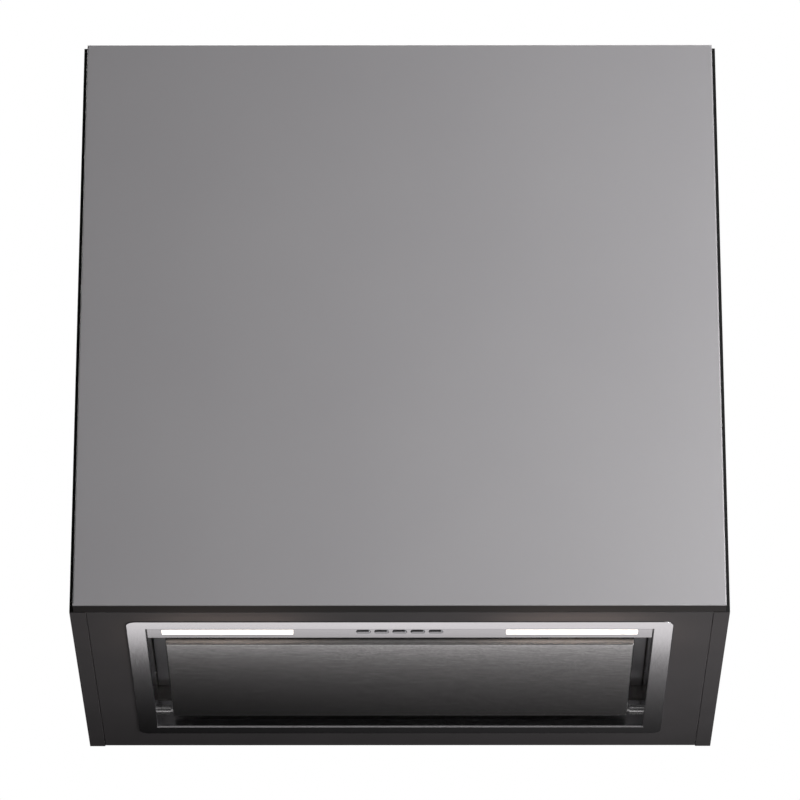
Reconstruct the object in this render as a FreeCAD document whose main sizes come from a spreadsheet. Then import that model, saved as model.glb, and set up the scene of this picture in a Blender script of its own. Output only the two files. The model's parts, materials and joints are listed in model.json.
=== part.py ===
import FreeCAD, Part
import math
import os
import re
import Sketcher

# Range hood insert in its housing, millimetres. X runs to the right, Y to the wall, Z up.
# The origin is the middle of the underside: Z = 0 is the lower face of the trim frame.

SIZES = {
    # Housing boards
    "housing_width": 600,
    "housing_depth": 350,
    "housing_height": 577,
    "side_board": 15,
    "bottom_board": 18,
    "bottom_inset": 2.5,
    "top_board": 15,
    "rail_board": 15,
    "rail_height": 80,
    "seam_groove": 0.6,
    "duct_cutout_width": 260,
    "duct_cutout_depth": 220,
    "wall_hole_spacing": 400,
    "wall_hole_diameter": 8,
    "cutout_clearance": 3,
    # Screws that join the boards
    "board_screw_inset": 60,
    "board_screw_head": 9,
    "board_screw_head_length": 3,
    "board_screw_shank": 5,
    "board_screw_length": 45,
    "seat_fit": 0.05,
    # Front panel and its flap hinges
    "front_side_reveal": 4,
    "front_top_reveal": 5,
    "front_board": 16,
    "front_gap": 1.5,
    "front_edge_round": 1.2,
    "pivot_drop": 4.5,
    "pivot_pin": 4,
    "pivot_reach": 8,
    "running_fit": 0.05,
    "arm_plate": 4,
    "arm_eye": 3.4,
    "arm_length": 70,
    "arm_height": 26,
    "arm_clearance": 0.5,
    # Trim frame
    "frame_width": 500,
    "frame_depth": 290,
    "frame_setback": 22,
    "frame_sheet": 1,
    "frame_corner": 9,
    "flange_width": 18,
    "return_height": 27,
    "fold_round": 1.5,
    "rim_round": 0.4,
    # Casing of the insert
    "casing_sheet": 1,
    "casing_height": 264,
    "casing_flange": 14,
    "rivet_head": 6.5,
    "rivet_head_height": 1.2,
    "rivet_shank": 3.2,
    "rivet_tail": 1.5,
    "rivet_inset": 45,
    "clip_sheet": 1.5,
    "clip_width": 30,
    "clip_height": 24,
    "clip_foot": 22,
    "clip_offset": 65,
    "clip_screw": 4,
    "clip_screw_head": 8,
    "clip_screw_head_height": 2.5,
    "clip_screw_rise": 14,
    # Control strip
    "strip_gap": 0.5,
    "strip_depth": 24.5,
    "strip_recess": 2,
    "strip_sheet": 1,
    "strip_height": 30,
    "cover_tab": 10,
    # Lights
    "light_end_gap": 13.5,
    "light_setback": 11,
    "lens_length": 120.2,
    "lens_width": 11,
    "lens_gap": 0.2,
    "lens_lip": 1.5,
    "lens_lip_height": 1.5,
    "light_board": 1.2,
    "light_board_margin": 1,
    "driver_length": 80,
    "driver_width": 16,
    "driver_height": 12,
    # Push buttons
    "button_width": 13,
    "button_depth": 5.2,
    "button_pitch": 16.6,
    "button_setback": 9.7,
    "button_corner": 2.3,
    "button_edge": 0.5,
    "button_proud": 1.1,
    "button_gap": 0.3,
    "button_flange": 0.9,
    "button_flange_height": 1.2,
    "stem_side": 4,
    "stem_height": 4,
    "press_travel": 1.5,
    "switch_gap": 0.3,
    "switch_side": 6,
    "switch_height": 5,
    "board_thickness": 1.6,
    "board_margin": 14,
    "board_width": 18,
    "post_diameter": 5,
    # Suction panel
    "slot_front": 22,
    "slot_rear": 20,
    "slot_side": 15.5,
    "panel_rise": 3.5,
    "panel_sheet": 1,
    "panel_fold": 12,
    "panel_bend": 1.4,
    "panel_lip": 10,
    "hinge_inset": 9,
    "hinge_rise": 3.5,
    "hinge_pin": 4,
    "hinge_pin_reach": 2,
    "bracket_width": 13.5,
    "bracket_depth": 10,
    "bracket_height": 7,
    "magnet_offset": 150,
    "magnet_width": 24,
    "magnet_depth": 10,
    "magnet_height": 6,
    "magnet_gap": 0.3,
    "magnet_plate": 1.5,
    "magnet_leg": 10,
    # Grease filter
    "filter_rise": 42,
    "filter_thickness": 12,
    "filter_gap": 1,
    "filter_bar": 15,
    "filter_skin": 1,
    "pleat_pitch": 12,
    "pleat_sheet": 0.8,
    "ledge_depth": 12,
    "ledge_drop": 12,
    "latch_width": 20,
    "latch_height": 4,
    "latch_rise": 2,
    "latch_throw": 8,
    "latch_length": 33,
    "latch_gap": 0.3,
    "latch_box_width": 44,
    "latch_box_depth": 24,
    "latch_tab_width": 16,
    "latch_tab_depth": 4,
    "latch_tab_drop": 3,
    "keeper_width": 60,
    "keeper_depth": 12,
    "keeper_sheet": 1.5,
    # Blower
    "fan_rise": 165,
    "impeller_radius": 62,
    "impeller_width": 96,
    "impeller_disc": 2,
    "impeller_ring": 6,
    "impeller_ring_width": 3,
    "blade_depth": 11,
    "blade_thickness": 1.2,
    "hub_radius": 12,
    "hub_length": 22,
    "scroll_gap": 6,
    "scroll_growth": 8,
    "scroll_side_gap": 4,
    "scroll_wall": 2,
    "inlet_radius": 50,
    "shaft_diameter": 8,
    "shaft_bearing_fit": 0.05,
    "motor_radius": 44,
    "motor_wall": 3,
    "motor_length": 72,
    "motor_hub_gap": 2,
    "bearing_radius": 11,
    "bearing_width": 7,
    "core_length": 38,
    "stator_bore": 27,
    "air_gap": 0.6,
    "spider_ring": 3,
    "spider_thickness": 6,
    "spider_arm": 14,
    "spider_reach": 14,
    "capacitor_radius": 18,
    "capacitor_length": 70,
    "capacitor_offset": 150,
    # Outlet collar and damper
    "collar_radius": 75,
    "collar_wall": 2,
    "collar_height": 60,
    "collar_flange": 17,
    "collar_flange_height": 3,
    "damper_rise": 34,
    "damper_pin": 3,
    "damper_pin_seat": 0.8,
    "flap_thickness": 1.2,
    "flap_clearance": 1.5,
    "flap_hem": 3.2,
    "knuckle_wall": 1.05,
    "knuckle_length": 20,
    "knuckle_near": 10,
    "knuckle_far": 40,
    "stop_ring": 4,
    "stop_height": 3,
    "stop_gap": 0.3,
    # Control box
    "box_offset": 165,
    "box_width": 100,
    "box_depth": 140,
    "box_height": 45,
    "box_wall": 2,
    "box_cover": 2,
    "box_skirt": 8,
    "box_board": 1.6,
    "box_board_margin": 8,
    "box_post": 8,
    "box_post_height": 6,
    "gland_bore": 9,
    "gland_body": 16,
    "gland_nut": 22,
    "gland_nut_length": 6,
    "gland_length": 18,
    "gland_rise": 24,
}

# Places worked out from the sizes, each a formula of words above or below.
PLACES = {
    "front_y": "-(housing_depth - front_gap - front_board) / 2",
    "back_y": "front_y + housing_depth",
    "base_z": "frame_sheet",
    "floor_z": "base_z + bottom_board",
    "roof_z": "base_z + housing_height",
    "side_x": "housing_width / 2 - side_board",
    "front_width": "housing_width - 2 * front_side_reveal",
    "front_height": "housing_height - front_top_reveal",
    "pivot_y": "front_y - front_gap - front_board / 2",
    "pivot_z": "base_z + front_height - pivot_drop",
    "frame_y": "front_y + frame_setback + frame_depth / 2",
    "open_x": "frame_width / 2 - flange_width",
    "open_y": "frame_depth / 2 - flange_width",
    "wall_x": "open_x + frame_sheet",
    "wall_y": "open_y + frame_sheet",
    "shell_x": "wall_x + casing_sheet",
    "shell_y": "wall_y + casing_sheet",
    "casing_top_z": "base_z + casing_height",
    "lid_z": "casing_top_z + casing_sheet",
    "flange_z": "return_height + casing_sheet",
    "strip_front_y": "frame_y - open_y + strip_gap",
    "strip_back_y": "strip_front_y + strip_depth",
    "strip_mid_y": "strip_front_y + strip_depth / 2",
    "strip_half_x": "open_x - strip_gap",
    "strip_top_z": "strip_recess + strip_height",
    "plate_z": "strip_recess + strip_sheet",
    "light_offset": "strip_half_x - light_end_gap - lens_length / 2",
    "light_y": "strip_front_y + light_setback",
    "light_board_z": "plate_z + lens_lip_height",
    "button_y": "strip_front_y + button_setback",
    "switch_z": "plate_z + button_flange_height + stem_height + press_travel + switch_gap",
    "button_board_z": "switch_z + switch_height",
    "panel_width": "2 * open_x - 2 * slot_side",
    "panel_front_y": "strip_back_y + slot_front",
    "panel_back_y": "frame_y + open_y - slot_rear",
    "panel_depth": "panel_back_y - panel_front_y",
    "panel_top_z": "panel_rise + panel_fold",
    "hinge_y": "panel_back_y - hinge_inset",
    "hinge_z": "panel_rise + hinge_rise",
    "magnet_plate_z": "panel_top_z + magnet_gap + magnet_height",
    "filter_half_x": "wall_x - filter_gap",
    "filter_front_y": "strip_back_y + filter_gap",
    "filter_back_y": "frame_y + wall_y - casing_sheet - filter_gap",
    "filter_top_z": "filter_rise + filter_thickness",
    "latch_z": "filter_rise + latch_rise",
    "latch_front_y": "filter_front_y - latch_throw - filter_gap",
    "latch_back_y": "latch_front_y + latch_length",
    "latch_box_back_y": "filter_front_y + filter_bar + latch_box_depth",
    "scroll_front": "impeller_radius + scroll_gap + 3 * scroll_growth",
    "fan_y": "frame_y + scroll_front / 2",
    "scroll_half": "impeller_width / 2 + scroll_side_gap",
    "motor_near_x": "hub_length / 2 + motor_hub_gap",
    "motor_far_x": "motor_near_x + motor_length",
    "motor_mid_x": "motor_near_x + motor_length / 2",
    "collar_bore": "collar_radius - collar_wall",
    "damper_z": "lid_z + damper_rise",
    "flap_radius": "collar_bore - flap_clearance",
    "knuckle_radius": "damper_pin / 2 + running_fit + knuckle_wall",
    "stop_z": "damper_z - flap_thickness / 2 - stop_gap",
    "box_back_y": "frame_y + box_depth / 2",
    "box_top_z": "lid_z + box_height",
}

WORD = re.compile(r"[a-z][a-z_]*")
BUTTONS = 5
BOARD_HALF = f"button_pitch * {(BUTTONS - 1) / 2} + board_margin"
BLADES = 36
LEFT = -1
RIGHT = 1

doc = FreeCAD.newDocument("HoodInsert")
sheet = doc.addObject("Spreadsheet::Sheet", "Sizes")
for row, (alias, number) in enumerate(SIZES.items(), start=1):
    sheet.set(f"A{row}", alias)
    sheet.set(f"B{row}", str(number))
    sheet.setAlias(f"B{row}", alias)
doc.recompute()

nodes = []


def formula(text):
    """Spell out a formula of sizes and places as an expression on the sheet."""
    def expand(match):
        word = match.group(0)
        if word in PLACES:
            return "(" + formula(PLACES[word]) + ")"
        return "Sizes." + word
    return WORD.sub(expand, str(text))


def size(alias):
    """One size as a number, for the shapes that are worked out here."""
    return float(sheet.get(alias))


def bind(feature, prop, text):
    feature.setExpression(prop, formula(text))


def place(feature, x="0", y="0", z="0"):
    for axis, text in zip("xyz", (x, y, z)):
        bind(feature, "Placement.Base." + axis, text)


def node(feature, label):
    """Name a finished sub-part."""
    feature.Label = label
    nodes.append(feature)
    return feature


def span(side, near, far):
    """An interval along X on the right, or its mirror image on the left."""
    if side == RIGHT:
        return near, far
    return f"-({far})", f"-({near})"


def about(middle, whole):
    """An interval of a given length about its middle."""
    return f"({middle}) - ({whole}) / 2", f"({middle}) + ({whole}) / 2"


def box(x, y, z):
    """A block between two places along each axis."""
    block = doc.addObject("Part::Box", "Block")
    for prop, (low, high) in zip(("Length", "Width", "Height"), (x, y, z)):
        bind(block, prop, f"({high}) - ({low})")
    place(block, x[0], y[0], z[0])
    return block


def rod(axis, radius, along, first, second):
    """A cylinder along X, Y or Z, at a place given by its other two coordinates."""
    cylinder = doc.addObject("Part::Cylinder", "Rod")
    bind(cylinder, "Radius", radius)
    bind(cylinder, "Height", f"({along[1]}) - ({along[0]})")
    turn = {
        "X": FreeCAD.Rotation(FreeCAD.Vector(0, 1, 0), 90),
        "Y": FreeCAD.Rotation(FreeCAD.Vector(1, 0, 0), -90),
        "Z": FreeCAD.Rotation(),
    }[axis]
    cylinder.Placement = FreeCAD.Placement(FreeCAD.Vector(), turn)
    corner = {
        "X": (along[0], first, second),
        "Y": (first, along[0], second),
        "Z": (first, second, along[0]),
    }[axis]
    place(cylinder, *corner)
    return cylinder


def join(*shapes):
    if len(shapes) == 1:
        return shapes[0]
    union = doc.addObject("Part::MultiFuse", "Joined")
    union.Shapes = list(shapes)
    return union


def group(shapes):
    """Separate solids that share one node."""
    compound = doc.addObject("Part::Compound", "Group")
    compound.Links = list(shapes)
    return compound


def cut(base, *tools):
    carved = doc.addObject("Part::Cut", "Carved")
    carved.Base = base
    carved.Tool = join(*tools)
    return carved


def common(base, tool):
    shared = doc.addObject("Part::Common", "Shared")
    shared.Base = base
    shared.Tool = tool
    return shared


def new_body(x="0", y="0", z="0"):
    body = doc.addObject("PartDesign::Body", "Body")
    place(body, x, y, z)
    return body


def sketch_on(body, role="XY_Plane", right="0", up="0", out="0"):
    """An empty sketch on one of the body's own planes, moved within it."""
    plane = next(f for f in body.Origin.OriginFeatures if f.Role == role)
    sketch = body.newObject("Sketcher::SketchObject", "Sketch")
    sketch.AttachmentSupport = (plane, [""])
    sketch.MapMode = "FlatFace"
    for axis, text in zip("xyz", (right, up, out)):
        bind(sketch, "AttachmentOffset.Base." + axis, text)
    return sketch


def add_rectangle(sketch, width, height):
    """A rectangle about the sketch's own origin."""
    corners = [FreeCAD.Vector(x, y) for x, y in ((-9, -4), (9, -4), (9, 4), (-9, 4))]
    lines = [Part.LineSegment(corners[i], corners[(i + 1) % 4]) for i in range(4)]
    bottom, right, top, left = sketch.addGeometry(lines, False)
    for first, second in ((bottom, right), (right, top), (top, left), (left, bottom)):
        sketch.addConstraint(Sketcher.Constraint("Coincident", first, 2, second, 1))
    for level in (bottom, top):
        sketch.addConstraint(Sketcher.Constraint("Horizontal", level))
    for upright in (left, right):
        sketch.addConstraint(Sketcher.Constraint("Vertical", upright))
    sketch.addConstraint(Sketcher.Constraint("Symmetric", bottom, 1, right, 2, -1, 1))
    wide = sketch.addConstraint(Sketcher.Constraint("DistanceX", bottom, 1, bottom, 2, 18))
    high = sketch.addConstraint(Sketcher.Constraint("DistanceY", right, 1, right, 2, 8))
    bind(sketch, f"Constraints[{wide}]", width)
    bind(sketch, f"Constraints[{high}]", height)
    return sketch


def add_circle(sketch, radius):
    """A circle about the sketch's own origin."""
    ring = sketch.addGeometry(Part.Circle(FreeCAD.Vector(), FreeCAD.Vector(0, 0, 1), 5), False)
    sketch.addConstraint(Sketcher.Constraint("Coincident", ring, 3, -1, 1))
    sized = sketch.addConstraint(Sketcher.Constraint("Radius", ring, 5))
    bind(sketch, f"Constraints[{sized}]", radius)
    return sketch


def pad(body, sketch, length, midplane=False):
    feature = body.newObject("PartDesign::Pad", "Pad")
    feature.Profile = sketch
    feature.Midplane = midplane
    bind(feature, "Length", length)
    return feature


def pocket(body, sketch, length, upward=False, midplane=False):
    """Cut a sketch out of the body, and make sure that something was cut."""
    doc.recompute()
    before = body.Shape.Volume
    feature = body.newObject("PartDesign::Pocket", "Pocket")
    feature.Profile = sketch
    feature.Reversed = upward
    feature.Midplane = midplane
    bind(feature, "Length", length)
    doc.recompute()
    if body.Shape.Volume >= before:
        raise RuntimeError(f"a pocket of {body.Label} cuts nothing")
    return feature


def round_edges(body, radius, wanted):
    """Round those edges of the body that the test picks."""
    doc.recompute()
    tip = body.Tip
    names = [f"Edge{i}" for i, edge in enumerate(tip.Shape.Edges, start=1) if wanted(edge)]
    feature = body.newObject("PartDesign::Fillet", "Round")
    feature.Base = (tip, names)
    bind(feature, "Radius", radius)
    return feature


def is_upright(edge):
    low, high = edge.BoundBox.ZMin, edge.BoundBox.ZMax
    return high - low > 0.99 * edge.Length


def is_level_at(edge, height):
    return abs(edge.BoundBox.ZMin - height) < 1e-6 and abs(edge.BoundBox.ZMax - height) < 1e-6


def board_screws(side, grow):
    """The joining screws of one side, or with some growth their holes."""
    outside = "housing_width / 2"
    levels = [("base_z + bottom_board / 2", y) for y in
              ("front_y + board_screw_inset", "back_y - board_screw_inset")]
    levels += [("roof_z - top_board / 2", y) for y in
               ("front_y + arm_length + board_screw_inset", "back_y - board_screw_inset")]
    levels += [("floor_z + rail_height / 2", "back_y - rail_board / 2"),
               ("roof_z - top_board - rail_height / 2", "back_y - rail_board / 2")]
    screws = []
    for z, y in levels:
        head = rod("X", f"board_screw_head / 2 + {grow}",
                   span(side, f"{outside} - board_screw_head_length - {grow}", outside), y, z)
        shank = rod("X", f"board_screw_shank / 2 + {grow}",
                    span(side, f"{outside} - board_screw_length - {grow}", outside), y, z)
        screws.append(join(head, shank))
    return screws


def seam_groove(side):
    """A square bar on edge along the seam between a side and the bottom board."""
    side_of_bar = f"seam_groove * {math.sqrt(2):.6f}"
    bar = box(("0", side_of_bar), ("front_y", "back_y"), ("0", side_of_bar))
    bar.Placement = FreeCAD.Placement(
        FreeCAD.Vector(), FreeCAD.Rotation(FreeCAD.Vector(0, 1, 0), -45))
    place(bar, f"{side} * side_x", "front_y", "base_z - seam_groove")
    return bar


def housing():
    """Boards of the housing and the screws that join them."""
    holes = {side: join(*board_screws(side, "seat_fit")) for side in (LEFT, RIGHT)}
    grooves = {side: seam_groove(side) for side in (LEFT, RIGHT)}
    both_holes = (holes[LEFT], holes[RIGHT])
    inside = ("-side_x", "side_x")
    for side, label in ((LEFT, "housing_left_side"), (RIGHT, "housing_right_side")):
        board = box(span(side, "side_x", "housing_width / 2"), ("front_y", "back_y"), ("base_z", "roof_z"))
        node(cut(board, holes[side], grooves[side]), label)

    bottom = box(inside, ("front_y", "back_y - bottom_inset"), ("base_z", "floor_z"))
    opening = box(about("0", "2 * shell_x + 2 * cutout_clearance"),
                  about("frame_y", "2 * shell_y + 2 * cutout_clearance"), ("base_z", "floor_z"))
    node(cut(bottom, opening, *both_holes, grooves[LEFT], grooves[RIGHT]), "housing_bottom")

    top = box(inside, ("front_y", "back_y"), ("roof_z - top_board", "roof_z"))
    duct = box(about("0", "duct_cutout_width"), about("frame_y", "duct_cutout_depth"),
               ("roof_z - top_board", "roof_z"))
    notches = [box(span(side, "side_x - arm_plate - arm_clearance", "side_x"),
                   ("front_y", "front_y + arm_length + arm_clearance"), ("roof_z - top_board", "roof_z"))
               for side in (LEFT, RIGHT)]
    node(cut(top, duct, *notches, *both_holes), "housing_top")

    back = ("back_y - rail_board", "back_y")
    upper = box(inside, back, ("roof_z - top_board - rail_height", "roof_z - top_board"))
    wall_holes = [rod("Y", "wall_hole_diameter / 2", back, f"{side} * wall_hole_spacing / 2",
                      "roof_z - top_board - rail_height / 2") for side in (LEFT, RIGHT)]
    node(cut(upper, *wall_holes, *both_holes), "upper_wall_rail")
    lower = box(inside, ("back_y - bottom_inset - rail_board", "back_y - bottom_inset"),
                ("floor_z", "floor_z + rail_height"))
    node(cut(lower, *both_holes), "lower_wall_rail")
    node(group(board_screws(LEFT, "0") + board_screws(RIGHT, "0")), "housing_screws")


def front_panel():
    """Front panel that lifts as a flap: a board with notches for the hinge arms at its top corners."""
    body = new_body("0", "pivot_y", "base_z")
    pad(body, add_rectangle(sketch_on(body), "front_width", "front_board"), "front_height")
    face = -size("front_board") / 2
    round_edges(body, "front_edge_round", lambda edge: edge.BoundBox.YMax < face + 1e-6)
    notch_width = "arm_plate + 2 * arm_clearance"
    notch_depth = "front_board / 2 + arm_eye + arm_clearance"
    for side in (LEFT, RIGHT):
        middle = f"{side} * (side_x - arm_plate / 2)"
        behind = f"front_board / 2 - ({notch_depth}) / 2"
        notch = sketch_on(body, "XY_Plane", middle, behind, "front_height")
        pocket(body, add_rectangle(notch, notch_width, notch_depth), "pivot_drop + arm_eye + arm_clearance")
        hole = sketch_on(body, "YZ_Plane", "0", "front_height - pivot_drop", middle)
        pocket(body, add_circle(hole, "pivot_pin / 2 + running_fit"), "arm_plate + 2 * pivot_reach",
               midplane=True)
    node(body, "front_panel")


def flap_hinges():
    """Arms on the housing sides, each with an eye and a pin that the front panel turns on."""
    arms, pins = [], []
    for side in (LEFT, RIGHT):
        across = span(side, "side_x - arm_plate", "side_x")
        reach = box(across, ("pivot_y", "front_y + arm_length"),
                    ("pivot_z - arm_eye", "pivot_z + arm_eye"))
        eye = rod("X", "arm_eye", across, "pivot_y", "pivot_z")
        leaf = box(across, ("front_y + arm_eye", "front_y + arm_length"),
                   ("pivot_z + arm_eye - arm_height", "pivot_z"))
        bore = rod("X", "pivot_pin / 2 + seat_fit", across, "pivot_y", "pivot_z")
        arms.append(cut(join(reach, eye, leaf), bore))
        pins.append(rod("X", "pivot_pin / 2", span(side, "side_x - arm_plate - pivot_reach + arm_clearance",
                                                   "side_x + pivot_reach - arm_clearance"),
                        "pivot_y", "pivot_z"))
    node(group(arms), "flap_hinge_arms")
    node(group(pins), "flap_hinge_pins")


def trim_frame():
    """Steel frame: a flat flange with a folded return round its opening."""
    body = new_body("0", "frame_y", "0")
    flange = add_rectangle(sketch_on(body), "frame_width", "frame_depth")
    add_rectangle(flange, "2 * open_x", "2 * open_y")
    pad(body, flange, "frame_sheet")
    limit = size("frame_width") / 2 - size("flange_width") / 2
    round_edges(body, "frame_corner",
                lambda edge: is_upright(edge) and abs(edge.BoundBox.XMin) > limit)
    fold = add_rectangle(sketch_on(body), "2 * wall_x", "2 * wall_y")
    add_rectangle(fold, "2 * open_x", "2 * open_y")
    pad(body, fold, "return_height")

    def on_opening(edge):
        middle = edge.BoundBox.Center
        return is_level_at(edge, 0) and abs(middle.x) < limit and (
            abs(middle.y) < size("frame_depth") / 2 - size("flange_width") / 2)
    round_edges(body, "fold_round", on_opening)
    round_edges(body, "rim_round", lambda edge: is_level_at(edge, 0) and (
        max(abs(edge.BoundBox.Center.x) - limit,
            abs(edge.BoundBox.Center.y) - size("frame_depth") / 2 + size("flange_width") / 2) > 0))
    node(body, "trim_frame")


def rivets(wall, grow):
    """Rivets through the front (-1) or rear (1) wall into the flanges of the side walls."""
    outer = f"frame_y + {wall} * (shell_y + rivet_head_height)"
    face = f"frame_y + {wall} * (shell_y - {grow})"
    inner = f"frame_y + {wall} * (wall_y - casing_sheet - rivet_tail)"
    shank_y, head_y = (inner, outer), (face, outer)
    if wall < 0:
        shank_y, head_y = (outer, inner), (outer, face)
    levels = ("flange_z + rivet_inset", "(flange_z + casing_top_z) / 2", "casing_top_z - rivet_inset")
    made = []
    for side in (LEFT, RIGHT):
        for z in levels:
            x = f"{side} * (wall_x - casing_flange / 2)"
            shank = rod("Y", f"rivet_shank / 2 + {grow}", shank_y, x, z)
            head = rod("Y", "rivet_head / 2", head_y, x, z)
            made.append(shank if grow != "0" else join(shank, head))
    return made


def clip_screws(side, grow):
    """Screws that hold the retaining clips to one side wall."""
    made = []
    for end in (-1, 1):
        y = f"frame_y + {end} * clip_offset"
        z = "floor_z + clip_screw_rise"
        seat = "shell_x + clip_sheet"
        through = span(side, "wall_x - clip_screw_head_height", f"{seat} + casing_sheet")
        shank = rod("X", f"clip_screw / 2 + {grow}", through, y, z)
        head = rod("X", "clip_screw_head / 2", span(side, seat, f"{seat} + clip_screw_head_height"), y, z)
        made.append(shank if grow != "0" else join(shank, head))
    return made


def casing():
    """Folded casing: side walls with flanges, front and rear walls riveted to them, and a top plate."""
    rivet_holes = {wall: rivets(wall, "seat_fit") for wall in (-1, 1)}
    all_rivet_holes = join(*rivet_holes[-1], *rivet_holes[1])
    deep = about("frame_y", "2 * wall_y")
    for side, label in ((LEFT, "casing_left_wall"), (RIGHT, "casing_right_wall")):
        web = box(span(side, "wall_x", "shell_x"), deep, ("base_z", "casing_top_z"))
        inward = span(side, "wall_x - casing_flange", "wall_x")
        tall = ("flange_z", "casing_top_z")
        front = box(inward, ("frame_y - wall_y", "frame_y - wall_y + casing_sheet"), tall)
        rear = box(inward, ("frame_y + wall_y - casing_sheet", "frame_y + wall_y"), tall)
        top = box(inward, deep, ("casing_top_z - casing_sheet", "casing_top_z"))
        screw_holes = clip_screws(side, "seat_fit")
        node(cut(join(web, front, rear, top), all_rivet_holes, *screw_holes), label)
    wide = ("-shell_x", "shell_x")
    for wall, label, y in ((-1, "casing_front_wall", ("frame_y - shell_y", "frame_y - wall_y")),
                           (1, "casing_rear_wall", ("frame_y + wall_y", "frame_y + shell_y"))):
        node(cut(box(wide, y, ("base_z", "casing_top_z")), *rivet_holes[wall]), label)
    plate = box(wide, about("frame_y", "2 * shell_y"), ("casing_top_z", "lid_z"))
    outlet = rod("Z", "collar_bore", ("casing_top_z", "lid_z"), "0", "frame_y")
    node(cut(plate, outlet), "casing_top")
    node(group(rivets(-1, "0") + rivets(1, "0")), "casing_rivets")


def retaining_clips():
    """Angle clips on the side walls that hold the insert down on the bottom board."""
    clips, screws = [], []
    for side in (LEFT, RIGHT):
        holes = clip_screws(side, "seat_fit")
        for end, hole in zip((-1, 1), holes):
            wide = about(f"frame_y + {end} * clip_offset", "clip_width")
            leg = box(span(side, "shell_x", "shell_x + clip_sheet"), wide,
                      ("floor_z", "floor_z + clip_height"))
            foot = box(span(side, "shell_x", "shell_x + clip_foot"), wide,
                       ("floor_z", "floor_z + clip_sheet"))
            clips.append(cut(join(leg, foot), hole))
        screws += clip_screws(side, "0")
    node(group(clips), "retaining_clips")
    node(group(screws), "clip_screws")


def control_strip():
    """Channel that shows below as the strip with the lights and buttons, and its cover plate with studs."""
    body = new_body("0", "strip_mid_y", "strip_recess")
    pad(body, add_rectangle(sketch_on(body), "2 * strip_half_x", "strip_depth"), "strip_sheet")
    for end in (-1, 1):
        wall = sketch_on(body, "XY_Plane", "0", f"{end} * (strip_depth - strip_sheet) / 2")
        pad(body, add_rectangle(wall, "2 * strip_half_x", "strip_sheet"), "strip_height")
    for side in (LEFT, RIGHT):
        window = sketch_on(body, "XY_Plane", f"{side} * light_offset", "light_setback - strip_depth / 2")
        pocket(body, add_rectangle(window, "lens_length + 2 * lens_gap", "lens_width + 2 * lens_gap"),
               "strip_sheet", upward=True)
    first = sketch_on(body, "XY_Plane", f"-button_pitch * {(BUTTONS - 1) / 2}",
                      "button_setback - strip_depth / 2")
    add_rectangle(first, "button_width + 2 * button_gap", "button_depth + 2 * button_gap")
    hole = pocket(body, first, "strip_sheet", upward=True)
    row = body.newObject("PartDesign::LinearPattern", "ButtonRow")
    row.Originals = [hole]
    row.Direction = (first, ["H_Axis"])
    row.Occurrences = BUTTONS
    bind(row, "Length", f"button_pitch * {BUTTONS - 1}")
    body.Tip = row
    reach = size("button_pitch") * BUTTONS / 2
    round_edges(body, "button_corner + button_gap", lambda edge: is_upright(edge) and (
        abs(edge.BoundBox.XMin) < reach and edge.BoundBox.ZMax < size("strip_sheet") + 1e-6))
    node(body, "control_strip")

    deep = ("strip_front_y", "strip_back_y")
    plate = box(("-wall_x", "wall_x"), deep, ("strip_top_z", "strip_top_z + strip_sheet"))
    tabs = [box(span(side, "wall_x - strip_sheet", "wall_x"), deep,
                ("strip_top_z", "strip_top_z + cover_tab")) for side in (LEFT, RIGHT)]
    studs = [rod("Z", "post_diameter / 2", ("button_board_z + board_thickness", "strip_top_z"),
                 f"{side} * ({BOARD_HALF} - post_diameter)",
                 f"strip_mid_y + {end} * (board_width / 2 - post_diameter)")
             for side in (LEFT, RIGHT) for end in (-1, 1)]
    node(join(plate, *tabs, *studs), "strip_cover")


def lights():
    """Two light lenses set in the strip, their boards, and the driver that feeds them."""
    boards = []
    for side, word in ((LEFT, "left"), (RIGHT, "right")):
        body = new_body(f"{side} * light_offset", "light_y", "strip_recess")
        pad(body, add_rectangle(sketch_on(body), "lens_length", "lens_width"), "strip_sheet")
        lip = sketch_on(body, "XY_Plane", "0", "0", "strip_sheet")
        add_rectangle(lip, "lens_length + 2 * lens_lip", "lens_width + 2 * lens_lip")
        pad(body, lip, "lens_lip_height")
        node(body, f"light_lens_{word}")
        boards.append(box(about(f"{side} * light_offset", "lens_length - 2 * light_board_margin"),
                          about("light_y", "lens_width - 2 * light_board_margin"),
                          ("light_board_z", "light_board_z + light_board")))
    node(group(boards), "light_boards")
    driver = box(about("-light_offset", "driver_length"), about("strip_mid_y", "driver_width"),
                 ("strip_top_z - driver_height", "strip_top_z"))
    node(driver, "light_driver")


def buttons():
    """Five keys that rest on the strip by a flange, with the switch board above them."""
    for number in range(BUTTONS):
        x = f"button_pitch * {number - (BUTTONS - 1) / 2}"
        body = new_body(x, "button_y", "strip_recess")
        cap = sketch_on(body, "XY_Plane", "0", "0", "-button_proud")
        pad(body, add_rectangle(cap, "button_width", "button_depth"), "button_proud + strip_sheet")
        round_edges(body, "button_corner", is_upright)
        low = -size("button_proud")
        round_edges(body, "button_edge", lambda edge: is_level_at(edge, low))
        flange = sketch_on(body, "XY_Plane", "0", "0", "strip_sheet")
        add_rectangle(flange, "button_width + 2 * button_flange", "button_depth + 2 * button_flange")
        pad(body, flange, "button_flange_height")
        stem = sketch_on(body, "XY_Plane", "0", "0", "strip_sheet + button_flange_height")
        pad(body, add_rectangle(stem, "stem_side", "stem_side"), "stem_height")
        node(body, f"button_{number + 1}")
    middles = [f"button_pitch * {number - (BUTTONS - 1) / 2}" for number in range(BUTTONS)]
    switches = [box(about(x, "switch_side"), about("button_y", "switch_side"),
                    ("switch_z", "button_board_z")) for x in middles]
    node(group(switches), "button_switches")
    board = box((f"-({BOARD_HALF})", BOARD_HALF), about("strip_mid_y", "board_width"),
                ("button_board_z", "button_board_z + board_thickness"))
    node(board, "button_board")


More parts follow.
